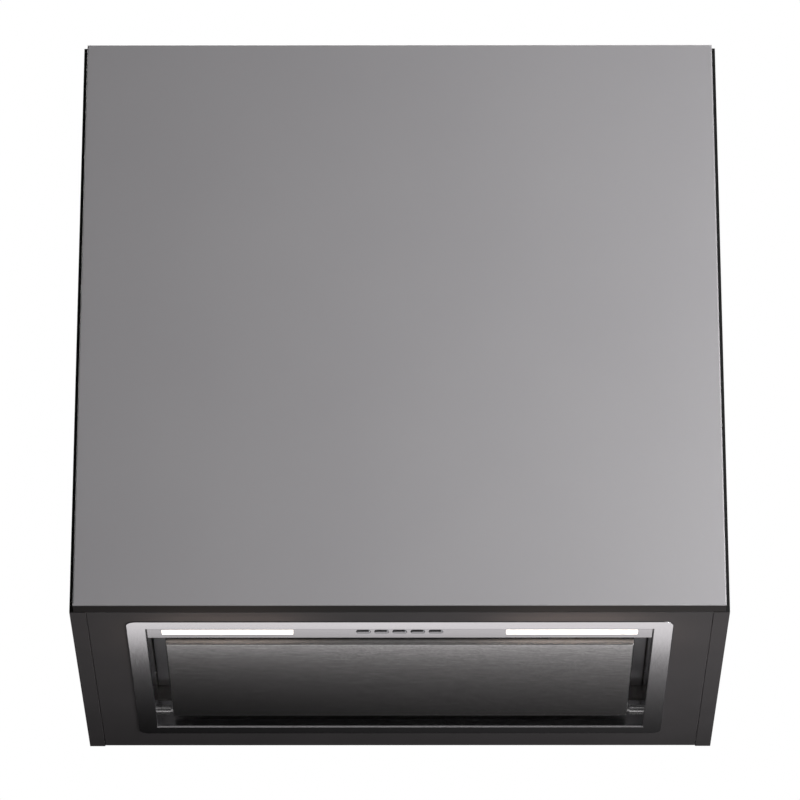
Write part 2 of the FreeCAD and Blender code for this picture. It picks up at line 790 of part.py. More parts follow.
def suction_panel():
    """Folded tray that hangs below the filter and turns on two pins near its rear edge."""
    body = new_body("0", "panel_front_y + panel_depth / 2", "panel_rise")
    pad(body, add_rectangle(sketch_on(body), "panel_width", "panel_depth"), "panel_fold")
    round_edges(body, "panel_bend", lambda edge: is_upright(edge) or is_level_at(edge, 0))
    inside = sketch_on(body, "XY_Plane", "0", "0", "panel_sheet")
    pocket(body, add_rectangle(inside, "panel_width - 2 * panel_sheet", "panel_depth - 2 * panel_sheet"),
           "panel_fold", upward=True)
    lip = sketch_on(body, "XY_Plane", "0", "panel_sheet + panel_lip / 2 - panel_depth / 2",
                    "panel_fold - panel_sheet")
    pad(body, add_rectangle(lip, "panel_width - 2 * panel_sheet", "panel_lip"), "panel_sheet")
    hole = sketch_on(body, "YZ_Plane", "panel_depth / 2 - hinge_inset", "hinge_rise")
    add_circle(hole, "hinge_pin / 2 + running_fit")
    pocket(body, hole, "panel_width + panel_sheet", midplane=True)
    node(body, "suction_panel")

    pins, brackets = [], []
    for side in (LEFT, RIGHT):
        pins.append(rod("X", "hinge_pin / 2",
                        span(side, "panel_width / 2 - panel_sheet - hinge_pin_reach", "open_x"),
                        "hinge_y", "hinge_z"))
        reach = span(side, "open_x - bracket_width", "open_x")
        block = box(reach, about("hinge_y", "bracket_depth"), about("hinge_z", "bracket_height"))
        brackets.append(cut(block, rod("X", "hinge_pin / 2 + seat_fit", reach, "hinge_y", "hinge_z")))
    node(group(pins), "panel_hinge_pins")
    node(group(brackets), "panel_hinge_brackets")

    plates, magnets = [], []
    for side in (LEFT, RIGHT):
        wide = about(f"{side} * magnet_offset", "magnet_width")
        plate = box(wide, ("strip_back_y", "panel_front_y + magnet_depth"),
                    ("magnet_plate_z", "magnet_plate_z + magnet_plate"))
        leg = box(wide, ("strip_back_y", "strip_back_y + magnet_plate"),
                  ("magnet_plate_z + magnet_plate - magnet_leg", "magnet_plate_z"))
        plates.append(join(plate, leg))
        magnets.append(box(wide, ("panel_front_y", "panel_front_y + magnet_depth"),
                           ("magnet_plate_z - magnet_height", "magnet_plate_z")))
    node(group(plates), "magnet_brackets")
    node(group(magnets), "panel_magnets")


def pleated_mesh():
    """Sheet folded in a zigzag across X, which fills the filter frame from bar to bar."""
    open_x = size("frame_width") / 2 - size("flange_width")
    half = open_x + size("frame_sheet") - size("filter_gap") - size("filter_bar")
    folds = 2 * round(half / size("pleat_pitch"))
    sheet_rise = size("pleat_sheet") / 2
    swing = size("filter_thickness") / 2 - size("filter_skin") - sheet_rise
    crests = [(half * (i / folds - 1), swing * (-1) ** i) for i in range(2 * folds + 1)]
    upper = [FreeCAD.Vector(x, 0, z + sheet_rise) for x, z in crests]
    lower = [FreeCAD.Vector(x, 0, z - sheet_rise) for x, z in reversed(crests)]
    open_y = size("frame_depth") / 2 - size("flange_width")
    clear = 2 * open_y - size("strip_gap") - size("strip_depth")
    deep = (clear + size("frame_sheet") - size("casing_sheet")
            - 2 * size("filter_gap") - 2 * size("filter_bar"))
    outline = Part.makePolygon(upper + lower + upper[:1])
    mesh = doc.addObject("Part::Feature", "Mesh")
    mesh.Shape = Part.Face(outline).extrude(FreeCAD.Vector(0, deep, 0))
    place(mesh, "0", "filter_front_y + filter_bar", "filter_rise + filter_thickness / 2")
    return mesh


def grease_filter():
    """Framed mesh that hangs on a rear ledge and on a spring latch over the control strip."""
    tall = ("filter_rise", "filter_top_z")
    latch_box = box(about("0", "latch_box_width"),
                    ("filter_front_y + filter_bar", "latch_box_back_y"), tall)
    outside = box(("-filter_half_x", "filter_half_x"), ("filter_front_y", "filter_back_y"), tall)
    opening = box(("filter_bar - filter_half_x", "filter_half_x - filter_bar"),
                  ("filter_front_y + filter_bar", "filter_back_y - filter_bar"), tall)
    slot_end = "latch_back_y + latch_throw + latch_gap"
    bolt_slot = box(about("0", "latch_width + 2 * latch_gap"), ("filter_front_y", slot_end),
                    ("latch_z - latch_gap", "latch_z + latch_height + latch_gap"))
    tab_slot = box(about("0", "latch_tab_width + 2 * latch_gap"),
                   ("latch_back_y - latch_tab_depth - latch_gap", slot_end),
                   ("filter_rise", "latch_z"))
    node(cut(join(cut(outside, opening), latch_box), bolt_slot, tab_slot), "filter_frame")

    node(cut(pleated_mesh(), latch_box), "filter_mesh")

    bolt = box(about("0", "latch_width"), ("latch_front_y", "latch_back_y"),
               ("latch_z", "latch_z + latch_height"))
    tab = box(about("0", "latch_tab_width"), ("latch_back_y - latch_tab_depth", "latch_back_y"),
              ("filter_rise - latch_tab_drop", "latch_z"))
    node(join(bolt, tab), "filter_latch")

    half = "wall_x - casing_flange - filter_gap"
    shelf = box((f"-({half})", half), ("filter_back_y - ledge_depth", "frame_y + wall_y"),
                ("filter_rise - casing_sheet", "filter_rise"))
    leg = box((f"-({half})", half), ("frame_y + wall_y - casing_sheet", "frame_y + wall_y"),
              ("filter_rise - ledge_drop", "filter_rise"))
    node(join(shelf, leg), "filter_ledge")

    wide = about("0", "keeper_width")
    keeper_y = "strip_back_y - keeper_depth"
    keeper_z = "latch_z - latch_gap"
    shelf = box(wide, (keeper_y, "strip_back_y"), (f"{keeper_z} - keeper_sheet", keeper_z))
    leg = box(wide, (keeper_y, f"{keeper_y} + keeper_sheet"), ("strip_top_z + strip_sheet", keeper_z))
    node(join(shelf, leg), "latch_keeper")


def scroll_outline(extra):
    """Outline of the scroll across X: a spiral of three quarter arcs with a neck that goes straight up."""
    start = size("impeller_radius") + size("scroll_gap")
    radii = [start + quarter * size("scroll_growth") + extra for quarter in range(4)]
    height = size("frame_sheet") + size("casing_height") - size("fan_rise")

    def polar(degrees, radius):
        angle = math.radians(degrees)
        return FreeCAD.Vector(0, radius * math.cos(angle), radius * math.sin(angle))
    edges = [Part.makeLine(FreeCAD.Vector(0, extra, height), FreeCAD.Vector(0, extra, radii[0]))]
    point = FreeCAD.Vector(0, extra, radii[0])
    for quarter in range(3):
        middle = polar(45 - 90 * quarter, (radii[quarter] + radii[quarter + 1]) / 2)
        end = polar(-90 * quarter, radii[quarter + 1])
        edges.append(Part.Arc(point, middle, end).toShape())
        point = end
    corner = FreeCAD.Vector(0, -radii[3], height)
    edges.append(Part.makeLine(point, corner))
    edges.append(Part.makeLine(corner, FreeCAD.Vector(0, extra, height)))
    return Part.Face(Part.Wire(edges))


def scroll_halves():
    """Two half shells of the blower, each with a round inlet in its side."""
    half = size("impeller_width") / 2 + size("scroll_side_gap")
    wall = size("scroll_wall")
    for side, label in ((LEFT, "blower_left_half"), (RIGHT, "blower_right_half")):
        outer = scroll_outline(wall).extrude(FreeCAD.Vector(side * (half + wall), 0, 0))
        inner = scroll_outline(0).extrude(FreeCAD.Vector(side * half, 0, 0))
        inlet = Part.makeCylinder(size("inlet_radius"), half + 2 * wall, FreeCAD.Vector(),
                                  FreeCAD.Vector(side, 0, 0))
        shell = doc.addObject("Part::Feature", "Scroll")
        shell.Shape = outer.cut(inner).cut(inlet)
        place(shell, "0", "fan_y", "fan_rise")
        node(shell, label)


def impeller():
    """Double inlet wheel: a middle disc on a hub, and blades between two rings."""
    body = new_body("0", "fan_y", "fan_rise")
    body.Placement = FreeCAD.Placement(body.Placement.Base, FreeCAD.Rotation(FreeCAD.Vector(0, 1, 0), 90))
    pad(body, add_circle(sketch_on(body), "impeller_radius"), "impeller_disc", midplane=True)
    pad(body, add_circle(sketch_on(body), "hub_radius"), "hub_length", midplane=True)
    for end in (-1, 1):
        ring = sketch_on(body, out=f"{end} * (impeller_width - impeller_ring_width) / 2")
        add_circle(ring, "impeller_radius")
        add_circle(ring, "impeller_radius - impeller_ring")
        pad(body, ring, "impeller_ring_width", midplane=True).AllowMultiFace = True
    blade = sketch_on(body, right="impeller_radius - blade_depth / 2 - blade_thickness / 2")
    add_rectangle(blade, "blade_depth", "blade_thickness")
    strip = pad(body, blade, "impeller_width", midplane=True)
    ring = body.newObject("PartDesign::PolarPattern", "Blades")
    ring.Originals = [strip]
    axis = next(f for f in body.Origin.OriginFeatures if f.Role == "Z_Axis")
    ring.Axis = (axis, [""])
    ring.Angle = 360
    ring.Occurrences = BLADES
    body.Tip = ring
    bore = add_circle(sketch_on(body), "shaft_diameter / 2")
    pocket(body, bore, "hub_length + impeller_disc", midplane=True)
    node(body, "impeller")


def motor():
    """Motor beside the disc of the impeller, from its shaft out to the spider that holds it."""
    def along(radius, x):
        return rod("X", radius, x, "fan_y", "fan_rise")
    ends = ("-hub_length / 2 - motor_hub_gap", "motor_far_x + motor_wall")
    node(along("shaft_diameter / 2", ends), "motor_shaft")
    whole = ("motor_near_x", "motor_far_x")
    hollow = ("motor_near_x + motor_wall", "motor_far_x - motor_wall")
    case = cut(along("motor_radius", whole), along("motor_radius - motor_wall", hollow),
               along("shaft_diameter / 2 + air_gap", whole))
    node(case, "motor_case")
    core = about("motor_mid_x", "core_length")
    node(cut(along("motor_radius - motor_wall", core), along("stator_bore", core)), "motor_stator")
    node(cut(along("stator_bore - air_gap", core), along("shaft_diameter / 2", core)), "motor_rotor")
    seats = (("motor_near_x + motor_wall", "motor_near_x + motor_wall + bearing_width"),
             ("motor_far_x - motor_wall - bearing_width", "motor_far_x - motor_wall"))
    bearings = [cut(along("bearing_radius", seat), along("shaft_diameter / 2 + shaft_bearing_fit", seat))
                for seat in seats]
    node(group(bearings), "motor_bearings")
    thick = ("scroll_half + scroll_wall", "scroll_half + scroll_wall + spider_thickness")
    arms = [along("motor_radius + spider_ring", thick)]
    for turn in (0, 120, 240):
        arm = box(thick, ("-spider_arm / 2", "spider_arm / 2"), ("0", "inlet_radius + spider_reach"))
        about_x = FreeCAD.Rotation(FreeCAD.Vector(1, 0, 0), turn)
        arm.Placement = FreeCAD.Placement(FreeCAD.Vector(), about_x)
        sine = math.sin(math.radians(turn))
        cosine = math.cos(math.radians(turn))
        place(arm, thick[0], f"fan_y - spider_arm / 2 * {cosine:.6f}",
              f"fan_rise - spider_arm / 2 * {sine:.6f}")
        arms.append(arm)
    node(cut(join(*arms), along("motor_radius", thick)), "motor_bracket")
    node(rod("Z", "capacitor_radius", ("casing_top_z - capacitor_length", "casing_top_z"),
             "-capacitor_offset", "frame_y"), "motor_capacitor")


def outlet():
    """Duct collar on the top plate, with two damper flaps on one pin."""
    def upright(radius, z):
        return rod("Z", radius, z, "0", "frame_y")
    whole = ("lid_z", "lid_z + collar_height")
    stop = ("stop_z - stop_height", "stop_z")
    skirt = join(upright("collar_radius", whole),
                 upright("collar_radius + collar_flange", ("lid_z", "lid_z + collar_flange_height")))
    ring = cut(upright("collar_radius", stop), upright("collar_bore - stop_ring", stop))
    ends = ("-(collar_bore + damper_pin_seat)", "collar_bore + damper_pin_seat")
    pin_hole = rod("X", "damper_pin / 2 + seat_fit", ends, "frame_y", "damper_z")
    node(cut(join(cut(skirt, upright("collar_bore", whole)), ring), pin_hole), "outlet_collar")
    node(rod("X", "damper_pin / 2", ends, "frame_y", "damper_z"), "damper_pin")

    thick = about("damper_z", "flap_thickness")
    for end, label in ((-1, "damper_flap_front"), (1, "damper_flap_rear")):
        sheet_y = ("flap_hem", "flap_radius")
        tab_y = ("0", "flap_hem")
        if end < 0:
            sheet_y = ("-flap_radius", "-flap_hem")
            tab_y = ("-flap_hem", "0")
        behind = tuple(f"frame_y + {y}" for y in sheet_y)
        tab = tuple(f"frame_y + {y}" for y in tab_y)
        half = common(upright("flap_radius", thick), box(("-flap_radius", "flap_radius"), behind, thick))
        pieces = [half]
        for side, reach in ((end, "knuckle_near"), (-end, "knuckle_far")):
            along = span(side, reach, f"{reach} + knuckle_length")
            pieces.append(rod("X", "knuckle_radius", along, "frame_y", "damper_z"))
            pieces.append(box(along, tab, thick))
        across = ("-flap_radius", "flap_radius")
        bore = rod("X", "damper_pin / 2 + running_fit", across, "frame_y", "damper_z")
        node(cut(join(*pieces), bore), label)


def control_box():
    """Box on the top plate with the control board, a lid and the gland for the supply lead."""
    x = about("box_offset", "box_width")
    y = about("frame_y", "box_depth")
    outer = box(x, y, ("lid_z", "box_top_z"))
    inner = box(about("box_offset", "box_width - 2 * box_wall"),
                about("frame_y", "box_depth - 2 * box_wall"), ("lid_z + box_wall", "box_top_z"))
    posts = [rod("Z", "box_post / 2", ("lid_z + box_wall", "lid_z + box_wall + box_post_height"),
                 f"box_offset + {side} * (box_width / 2 - box_wall - box_board_margin - box_post / 2)",
                 f"frame_y + {end} * (box_depth / 2 - box_wall - box_board_margin - box_post / 2)")
             for side in (LEFT, RIGHT) for end in (-1, 1)]
    wall = ("box_back_y - box_wall", "box_back_y")
    gland_z = "lid_z + gland_rise"
    gland_hole = rod("Y", "gland_body / 2 + seat_fit", wall, "box_offset", gland_z)
    node(cut(join(cut(outer, inner), *posts), gland_hole), "control_box")

    plate = box(x, y, ("box_top_z", "box_top_z + box_cover"))
    skirt_z = ("box_top_z - box_skirt", "box_top_z")
    plug = box(about("box_offset", "box_width - 2 * box_wall - 2 * seat_fit"),
               about("frame_y", "box_depth - 2 * box_wall - 2 * seat_fit"), skirt_z)
    relief = box(about("box_offset", "box_width - 4 * box_wall"),
                 about("frame_y", "box_depth - 4 * box_wall"), skirt_z)
    node(cut(join(plate, plug), relief), "control_box_cover")

    board_z = "lid_z + box_wall + box_post_height"
    board = box(about("box_offset", "box_width - 2 * box_wall - 2 * box_board_margin"),
                about("frame_y", "box_depth - 2 * box_wall - 2 * box_board_margin"),
                (board_z, f"{board_z} + box_board"))
    node(board, "control_board")

    whole = ("box_back_y - box_wall - gland_nut_length", "box_back_y + gland_length")
    body = rod("Y", "gland_body / 2", whole, "box_offset", gland_z)
    nut = rod("Y", "gland_nut / 2", ("box_back_y", "box_back_y + gland_nut_length"), "box_offset", gland_z)
    bore = rod("Y", "gland_bore / 2", whole, "box_offset", gland_z)
    node(cut(join(body, nut), bore), "cable_gland")


def write_parts():
    """Check every object, then write each sub-part to its own file."""
    doc.recompute()
    for feature in doc.Objects:
        if "Invalid" in feature.State or "Error" in feature.State:
            raise RuntimeError(f"{feature.Label} failed: {feature.State}")
    for feature in nodes:
        if feature.Shape.isNull() or not feature.Shape.isValid():
            raise RuntimeError(f"{feature.Label} has no valid shape")
    os.makedirs("parts", exist_ok=True)
    for feature in nodes:
        feature.Shape.exportStep(f"parts/{feature.Label}.step")
        print(f"{feature.Label}: {len(feature.Shape.Solids)} solids, {feature.Shape.Volume:.0f} cubic mm")
    print(len(nodes), "nodes")


housing()
front_panel()
flap_hinges()
trim_frame()
casing()
retaining_clips()
control_strip()
lights()
buttons()
suction_panel()
grease_filter()
scroll_halves()
impeller()
motor()
outlet()
control_box()
write_parts()
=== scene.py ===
"""Looks of a built-in range hood insert in its box housing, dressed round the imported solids.

Metres, in the frame of the solids: X to the right, Y to the wall, Z up, Z = 0 at the lower face of
the trim frame. The solids stay where they are. Edges that catch the light, fasteners, hinge blocks
and the grease filter are new pieces that stand for their solids.
"""
from __future__ import annotations

import json
import logging
import math
from collections.abc import Callable
from dataclasses import dataclass
from enum import Enum, IntEnum
from typing import Protocol

import bmesh
import bpy
import numpy as np
from mathutils import Matrix, Vector

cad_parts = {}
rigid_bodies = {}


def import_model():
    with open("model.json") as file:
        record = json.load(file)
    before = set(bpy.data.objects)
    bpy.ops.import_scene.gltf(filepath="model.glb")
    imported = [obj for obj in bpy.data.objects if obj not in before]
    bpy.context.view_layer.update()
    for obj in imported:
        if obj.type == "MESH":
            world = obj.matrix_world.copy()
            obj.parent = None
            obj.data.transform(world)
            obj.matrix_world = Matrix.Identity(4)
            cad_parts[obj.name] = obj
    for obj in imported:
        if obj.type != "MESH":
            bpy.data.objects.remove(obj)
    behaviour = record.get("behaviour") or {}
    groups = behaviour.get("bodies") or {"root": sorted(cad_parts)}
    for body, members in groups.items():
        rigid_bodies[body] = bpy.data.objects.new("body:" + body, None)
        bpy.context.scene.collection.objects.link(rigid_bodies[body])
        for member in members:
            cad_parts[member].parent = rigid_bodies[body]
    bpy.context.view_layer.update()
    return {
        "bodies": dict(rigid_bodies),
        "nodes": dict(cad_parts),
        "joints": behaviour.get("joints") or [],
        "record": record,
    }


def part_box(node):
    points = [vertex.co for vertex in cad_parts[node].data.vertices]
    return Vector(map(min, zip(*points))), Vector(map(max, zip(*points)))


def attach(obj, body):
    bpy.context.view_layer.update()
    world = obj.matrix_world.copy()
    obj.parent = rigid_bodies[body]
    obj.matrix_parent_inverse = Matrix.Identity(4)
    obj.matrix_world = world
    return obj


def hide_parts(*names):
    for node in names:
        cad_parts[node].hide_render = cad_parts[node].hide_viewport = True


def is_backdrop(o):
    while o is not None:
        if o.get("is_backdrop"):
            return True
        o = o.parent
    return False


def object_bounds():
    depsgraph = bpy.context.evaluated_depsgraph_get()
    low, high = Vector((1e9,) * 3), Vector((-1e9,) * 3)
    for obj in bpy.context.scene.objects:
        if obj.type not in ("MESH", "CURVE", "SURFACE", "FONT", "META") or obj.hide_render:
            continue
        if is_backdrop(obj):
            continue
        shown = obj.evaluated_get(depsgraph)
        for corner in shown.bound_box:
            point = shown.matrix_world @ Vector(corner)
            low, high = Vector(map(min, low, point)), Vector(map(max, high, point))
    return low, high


Colour = tuple[float, float, float]
Point = tuple[float, float, float]
Socket = bpy.types.NodeSocket

MM = 0.001
LOG = logging.getLogger("hood")
MERGE_DISTANCE = 1e-6
CREASE = math.radians(40)
BLACK: Colour = (0.0, 0.0, 0.0)
WHITE: Colour = (1.0, 1.0, 1.0)


class Axis(IntEnum):
    """An axis of the frame, as an index."""

    X = 0
    Y = 1


class Brush(Enum):
    """Which way a sheet is brushed."""

    LENGTHWAYS = "along X"
    ROUND_THE_FRAME = "along each side of the frame"


class Source(Enum):
    """What a material reads from its surface."""

    PLACE = "Object"
    FACING = "Normal"


class Curve(Enum):
    """How a ramp leads from end to end."""

    STRAIGHT = "LINEAR"
    SOFT = "SMOOTHSTEP"


class Finish(Protocol):
    """Anything that can make a material."""

    def make(self) -> bpy.types.Material:
        """Build the material."""


class Shader:
    """A material's node tree with short calls to add and join nodes."""

    def __init__(self, name: str) -> None:
        """Make a material with a Principled shader on its output.

        Args:
            name: The material's name.
        """
        self.material = bpy.data.materials.new(name)
        self.material.use_nodes = True
        self.tree = self.material.node_tree
        self.surface = self.tree.nodes["Principled BSDF"]

    def add(self, kind: str, **values: object) -> bpy.types.Node:
        """Add a node and set its properties.

        Args:
            kind: The node's type without the ShaderNode prefix.
            values: Properties by name.

        Returns:
            The new node.
        """
        node = self.tree.nodes.new("ShaderNode" + kind)
        for name, value in values.items():
            setattr(node, name, value)
        return node

    def join(self, source: Socket, target: Socket) -> None:
        """Link one socket to another."""
        self.tree.links.new(source, target)

    def put(self, **values: object) -> None:
        """Set plain values on the Principled shader.

        Args:
            values: Values by socket name, with underscores for spaces.
        """
        for name, value in values.items():
            self.surface.inputs[name.replace("_", " ")].default_value = value

    def place(self, scale: float | Point, turn: float = 0.0) -> Socket:
        """Object coordinates with a scale per axis.

        Args:
            scale: Cycles of a pattern per metre, along all axes or along X, Y and Z.
            turn: Turn about Z, in degrees.

        Returns:
            The socket of the scaled coordinates.
        """
        where = self.add("TexCoord")
        mapping = self.add("Mapping")
        mapping.inputs["Scale"].default_value = scale if isinstance(scale, tuple) else (scale,) * 3
        mapping.inputs["Rotation"].default_value = (0, 0, math.radians(turn))
        self.join(where.outputs["Object"], mapping.inputs["Vector"])
        return mapping.outputs["Vector"]

    def noise(self, vector: Socket, detail: float = 4.0, coarse: float = 0.55) -> Socket:
        """Noise on scaled coordinates.

        Args:
            vector: The coordinates.
            detail: Octaves.
            coarse: Share of each finer octave.

        Returns:
            The socket of the noise, from 0 to 1.
        """
        node = self.add("TexNoise")
        node.inputs["Scale"].default_value = 1.0
        node.inputs["Detail"].default_value = detail
        node.inputs["Roughness"].default_value = coarse
        self.join(vector, node.inputs["Vector"])
        return node.outputs["Fac"]

    def ramp(self, value: Socket, start: float, end: float, low: float = 0.0, high: float = 1.0,
             curve: Curve = Curve.STRAIGHT) -> Socket:
        """Lead a value from one range to another, held level past both ends.

        Args:
            value: The value.
            start: Where the ramp starts.
            end: Where it ends, above or below the start.
            low: Result at the start.
            high: Result at the end.
            curve: How it leads from end to end.

        Returns:
            The socket of the result.
        """
        node = self.add("MapRange", interpolation_type=curve.value)
        for name, number in (("From Min", start), ("From Max", end), ("To Min", low), ("To Max", high)):
            node.inputs[name].default_value = number
        self.join(value, node.inputs["Value"])
        return node.outputs["Result"]

    def spread(self, value: Socket, low: float, high: float) -> Socket:
        """Stretch a pattern from its middle range to between two values.

        Args:
            value: A pattern from 0 to 1.
            low: Value at 0.3 of the pattern.
            high: Value at 0.7 of the pattern.

        Returns:
            The socket of the stretched pattern.
        """
        return self.ramp(value, 0.3, 0.7, low, high)

    def blend(self, factor: Socket, first: Colour | Socket, second: Colour | Socket) -> Socket:
        """Mix two colours by a factor.

        Args:
            factor: 0 for the first colour, 1 for the second.
            first: A colour or a socket.
            second: A colour or a socket.

        Returns:
            The socket of the mixed colour.
        """
        node = self.add("Mix", data_type="RGBA")
        self.join(factor, node.inputs["Factor"])
        for socket, colour in ((node.inputs[6], first), (node.inputs[7], second)):
            if isinstance(colour, Socket):
                self.join(colour, socket)
            else:
                socket.default_value = (*colour, 1.0)
        return node.outputs[2]

    def patches(self, scale: float, first: Colour, second: Colour) -> Socket:
        """Soft patches of two colours.

        Args:
            scale: Patches per metre.
            first: One colour.
            second: The other colour.

        Returns:
            The socket of the colour.
        """
        cloud = self.noise(self.place(scale), detail=2.0)
        return self.blend(self.spread(cloud, 0, 1), first, second)

    def maths(self, operation: str, first: float | Socket, second: float | Socket = 0.0) -> Socket:
        """One sum on two numbers or sockets.

        Args:
            operation: The sum's name, such as ADD.
            first: A number or socket.
            second: A number or socket.

        Returns:
            The socket of the result.
        """
        node = self.add("Math", operation=operation)
        for socket, value in zip(node.inputs, (first, second)):
            if isinstance(value, Socket):
                self.join(value, socket)
            else:
                socket.default_value = value
        return node.outputs["Value"]

    def facing(self, axis: str) -> Socket:
        """The surface normal's share along an axis of the object."""
        return self.along(axis, Source.FACING)

    def along(self, axis: str, source: Source = Source.PLACE) -> Socket:
        """One axis of the object's coordinates, or of its normals.

        Args:
            axis: X, Y or Z.
            source: Which of the two.

        Returns:
            The socket of that axis.
        """
        where = self.add("TexCoord")
        split = self.add("SeparateXYZ")
        self.join(where.outputs[source.value], split.inputs["Vector"])
        return split.outputs[axis]

    def colour(self, socket: Socket) -> None:
        """Give the surface its colour."""
        self.join(socket, self.surface.inputs["Base Color"])

    def rough(self, socket: Socket) -> None:
        """Give the surface its roughness."""
        self.join(socket, self.surface.inputs["Roughness"])

    def bump(self, height: Socket, depth: float, strength: float) -> None:
        """Raise the surface by a pattern.

        Args:
            height: The pattern.
            depth: Its height in metres.
            strength: Share of that height which shows.
        """
        node = self.add("Bump")
        node.inputs["Distance"].default_value = depth
        node.inputs["Strength"].default_value = strength
        self.join(height, node.inputs["Height"])
        self.join(node.outputs["Normal"], self.surface.inputs["Normal"])


@dataclass(frozen=True)
class Laminate:
    """Dark matt laminate on board, with a fine pressed grain and black bands painted on its front edges
    as the shade of the reveal beside the door.
    """

    name: str = "charcoal_laminate"
    base: Colour = (0.057, 0.0535, 0.055)
    pale: Colour = (0.064, 0.060, 0.062)
    # painted shade: the board's front edges are black where the reveal beside the door lies in shade
    painted_shade_and_highlight_band: Colour = (0.008, 0.008, 0.008)
    patches: float = 14
    grain: float = 900
    grain_depth: float = 0.05 * MM
    smooth: float = 0.62
    coarse: float = 0.74
    shine: float = 0.16
    edge_facing: float = -0.5

    def make(self) -> bpy.types.Material:
        """Build the material."""
        shader = Shader(self.name)
        grain = shader.noise(shader.place(self.grain), detail=3.0)
        board = shader.patches(self.patches, self.base, self.pale)
        # front edges take the painted band in place of the board's own colour
        painted_edge_mask = shader.maths("LESS_THAN", shader.facing("Y"), self.edge_facing)
        shader.colour(shader.blend(painted_edge_mask, board, self.painted_shade_and_highlight_band))
        shader.rough(shader.spread(grain, self.smooth, self.coarse))
        shader.bump(grain, self.grain_depth, strength=0.4)
        shader.put(Specular_IOR_Level=self.shine)
        return shader.material


@dataclass(frozen=True)
class Lacquer:
    """Satin lacquer on the face of the front panel, with dull dark bands painted on its edges as the
    shade on the door's underside and sides.
    """

    name: str = "satin_lacquer"
    face: Colour = (0.304, 0.297, 0.308)
    pale: Colour = (0.316, 0.309, 0.319)
    # painted shade on the door's edges, which lie in shade under and beside the door
    painted_shade_and_highlight_band: Colour = (0.046, 0.0435, 0.0435)
    patches: float = 5
    peel: float = 420
    peel_depth: float = 0.02 * MM
    smooth: float = 0.44
    coarse: float = 0.50
    shine: float = 0.3
    face_facing: float = -0.06

    def make(self) -> bpy.types.Material:
        """Build the material."""
        shader = Shader(self.name)
        peel = shader.noise(shader.place(self.peel), detail=2.0)
        lacquer = shader.patches(self.patches, self.face, self.pale)
        # the edges take the painted shade and lose their shine
        on_face = shader.maths("LESS_THAN", shader.facing("Y"), self.face_facing)
        shader.colour(shader.blend(on_face, self.painted_shade_and_highlight_band, lacquer))
        shader.rough(shader.spread(peel, self.smooth, self.coarse))
        shader.bump(peel, self.peel_depth, strength=0.3)
        shine = shader.maths("MULTIPLY", on_face, self.shine)
        shader.join(shine, shader.surface.inputs["Specular IOR Level"])
        return shader.material


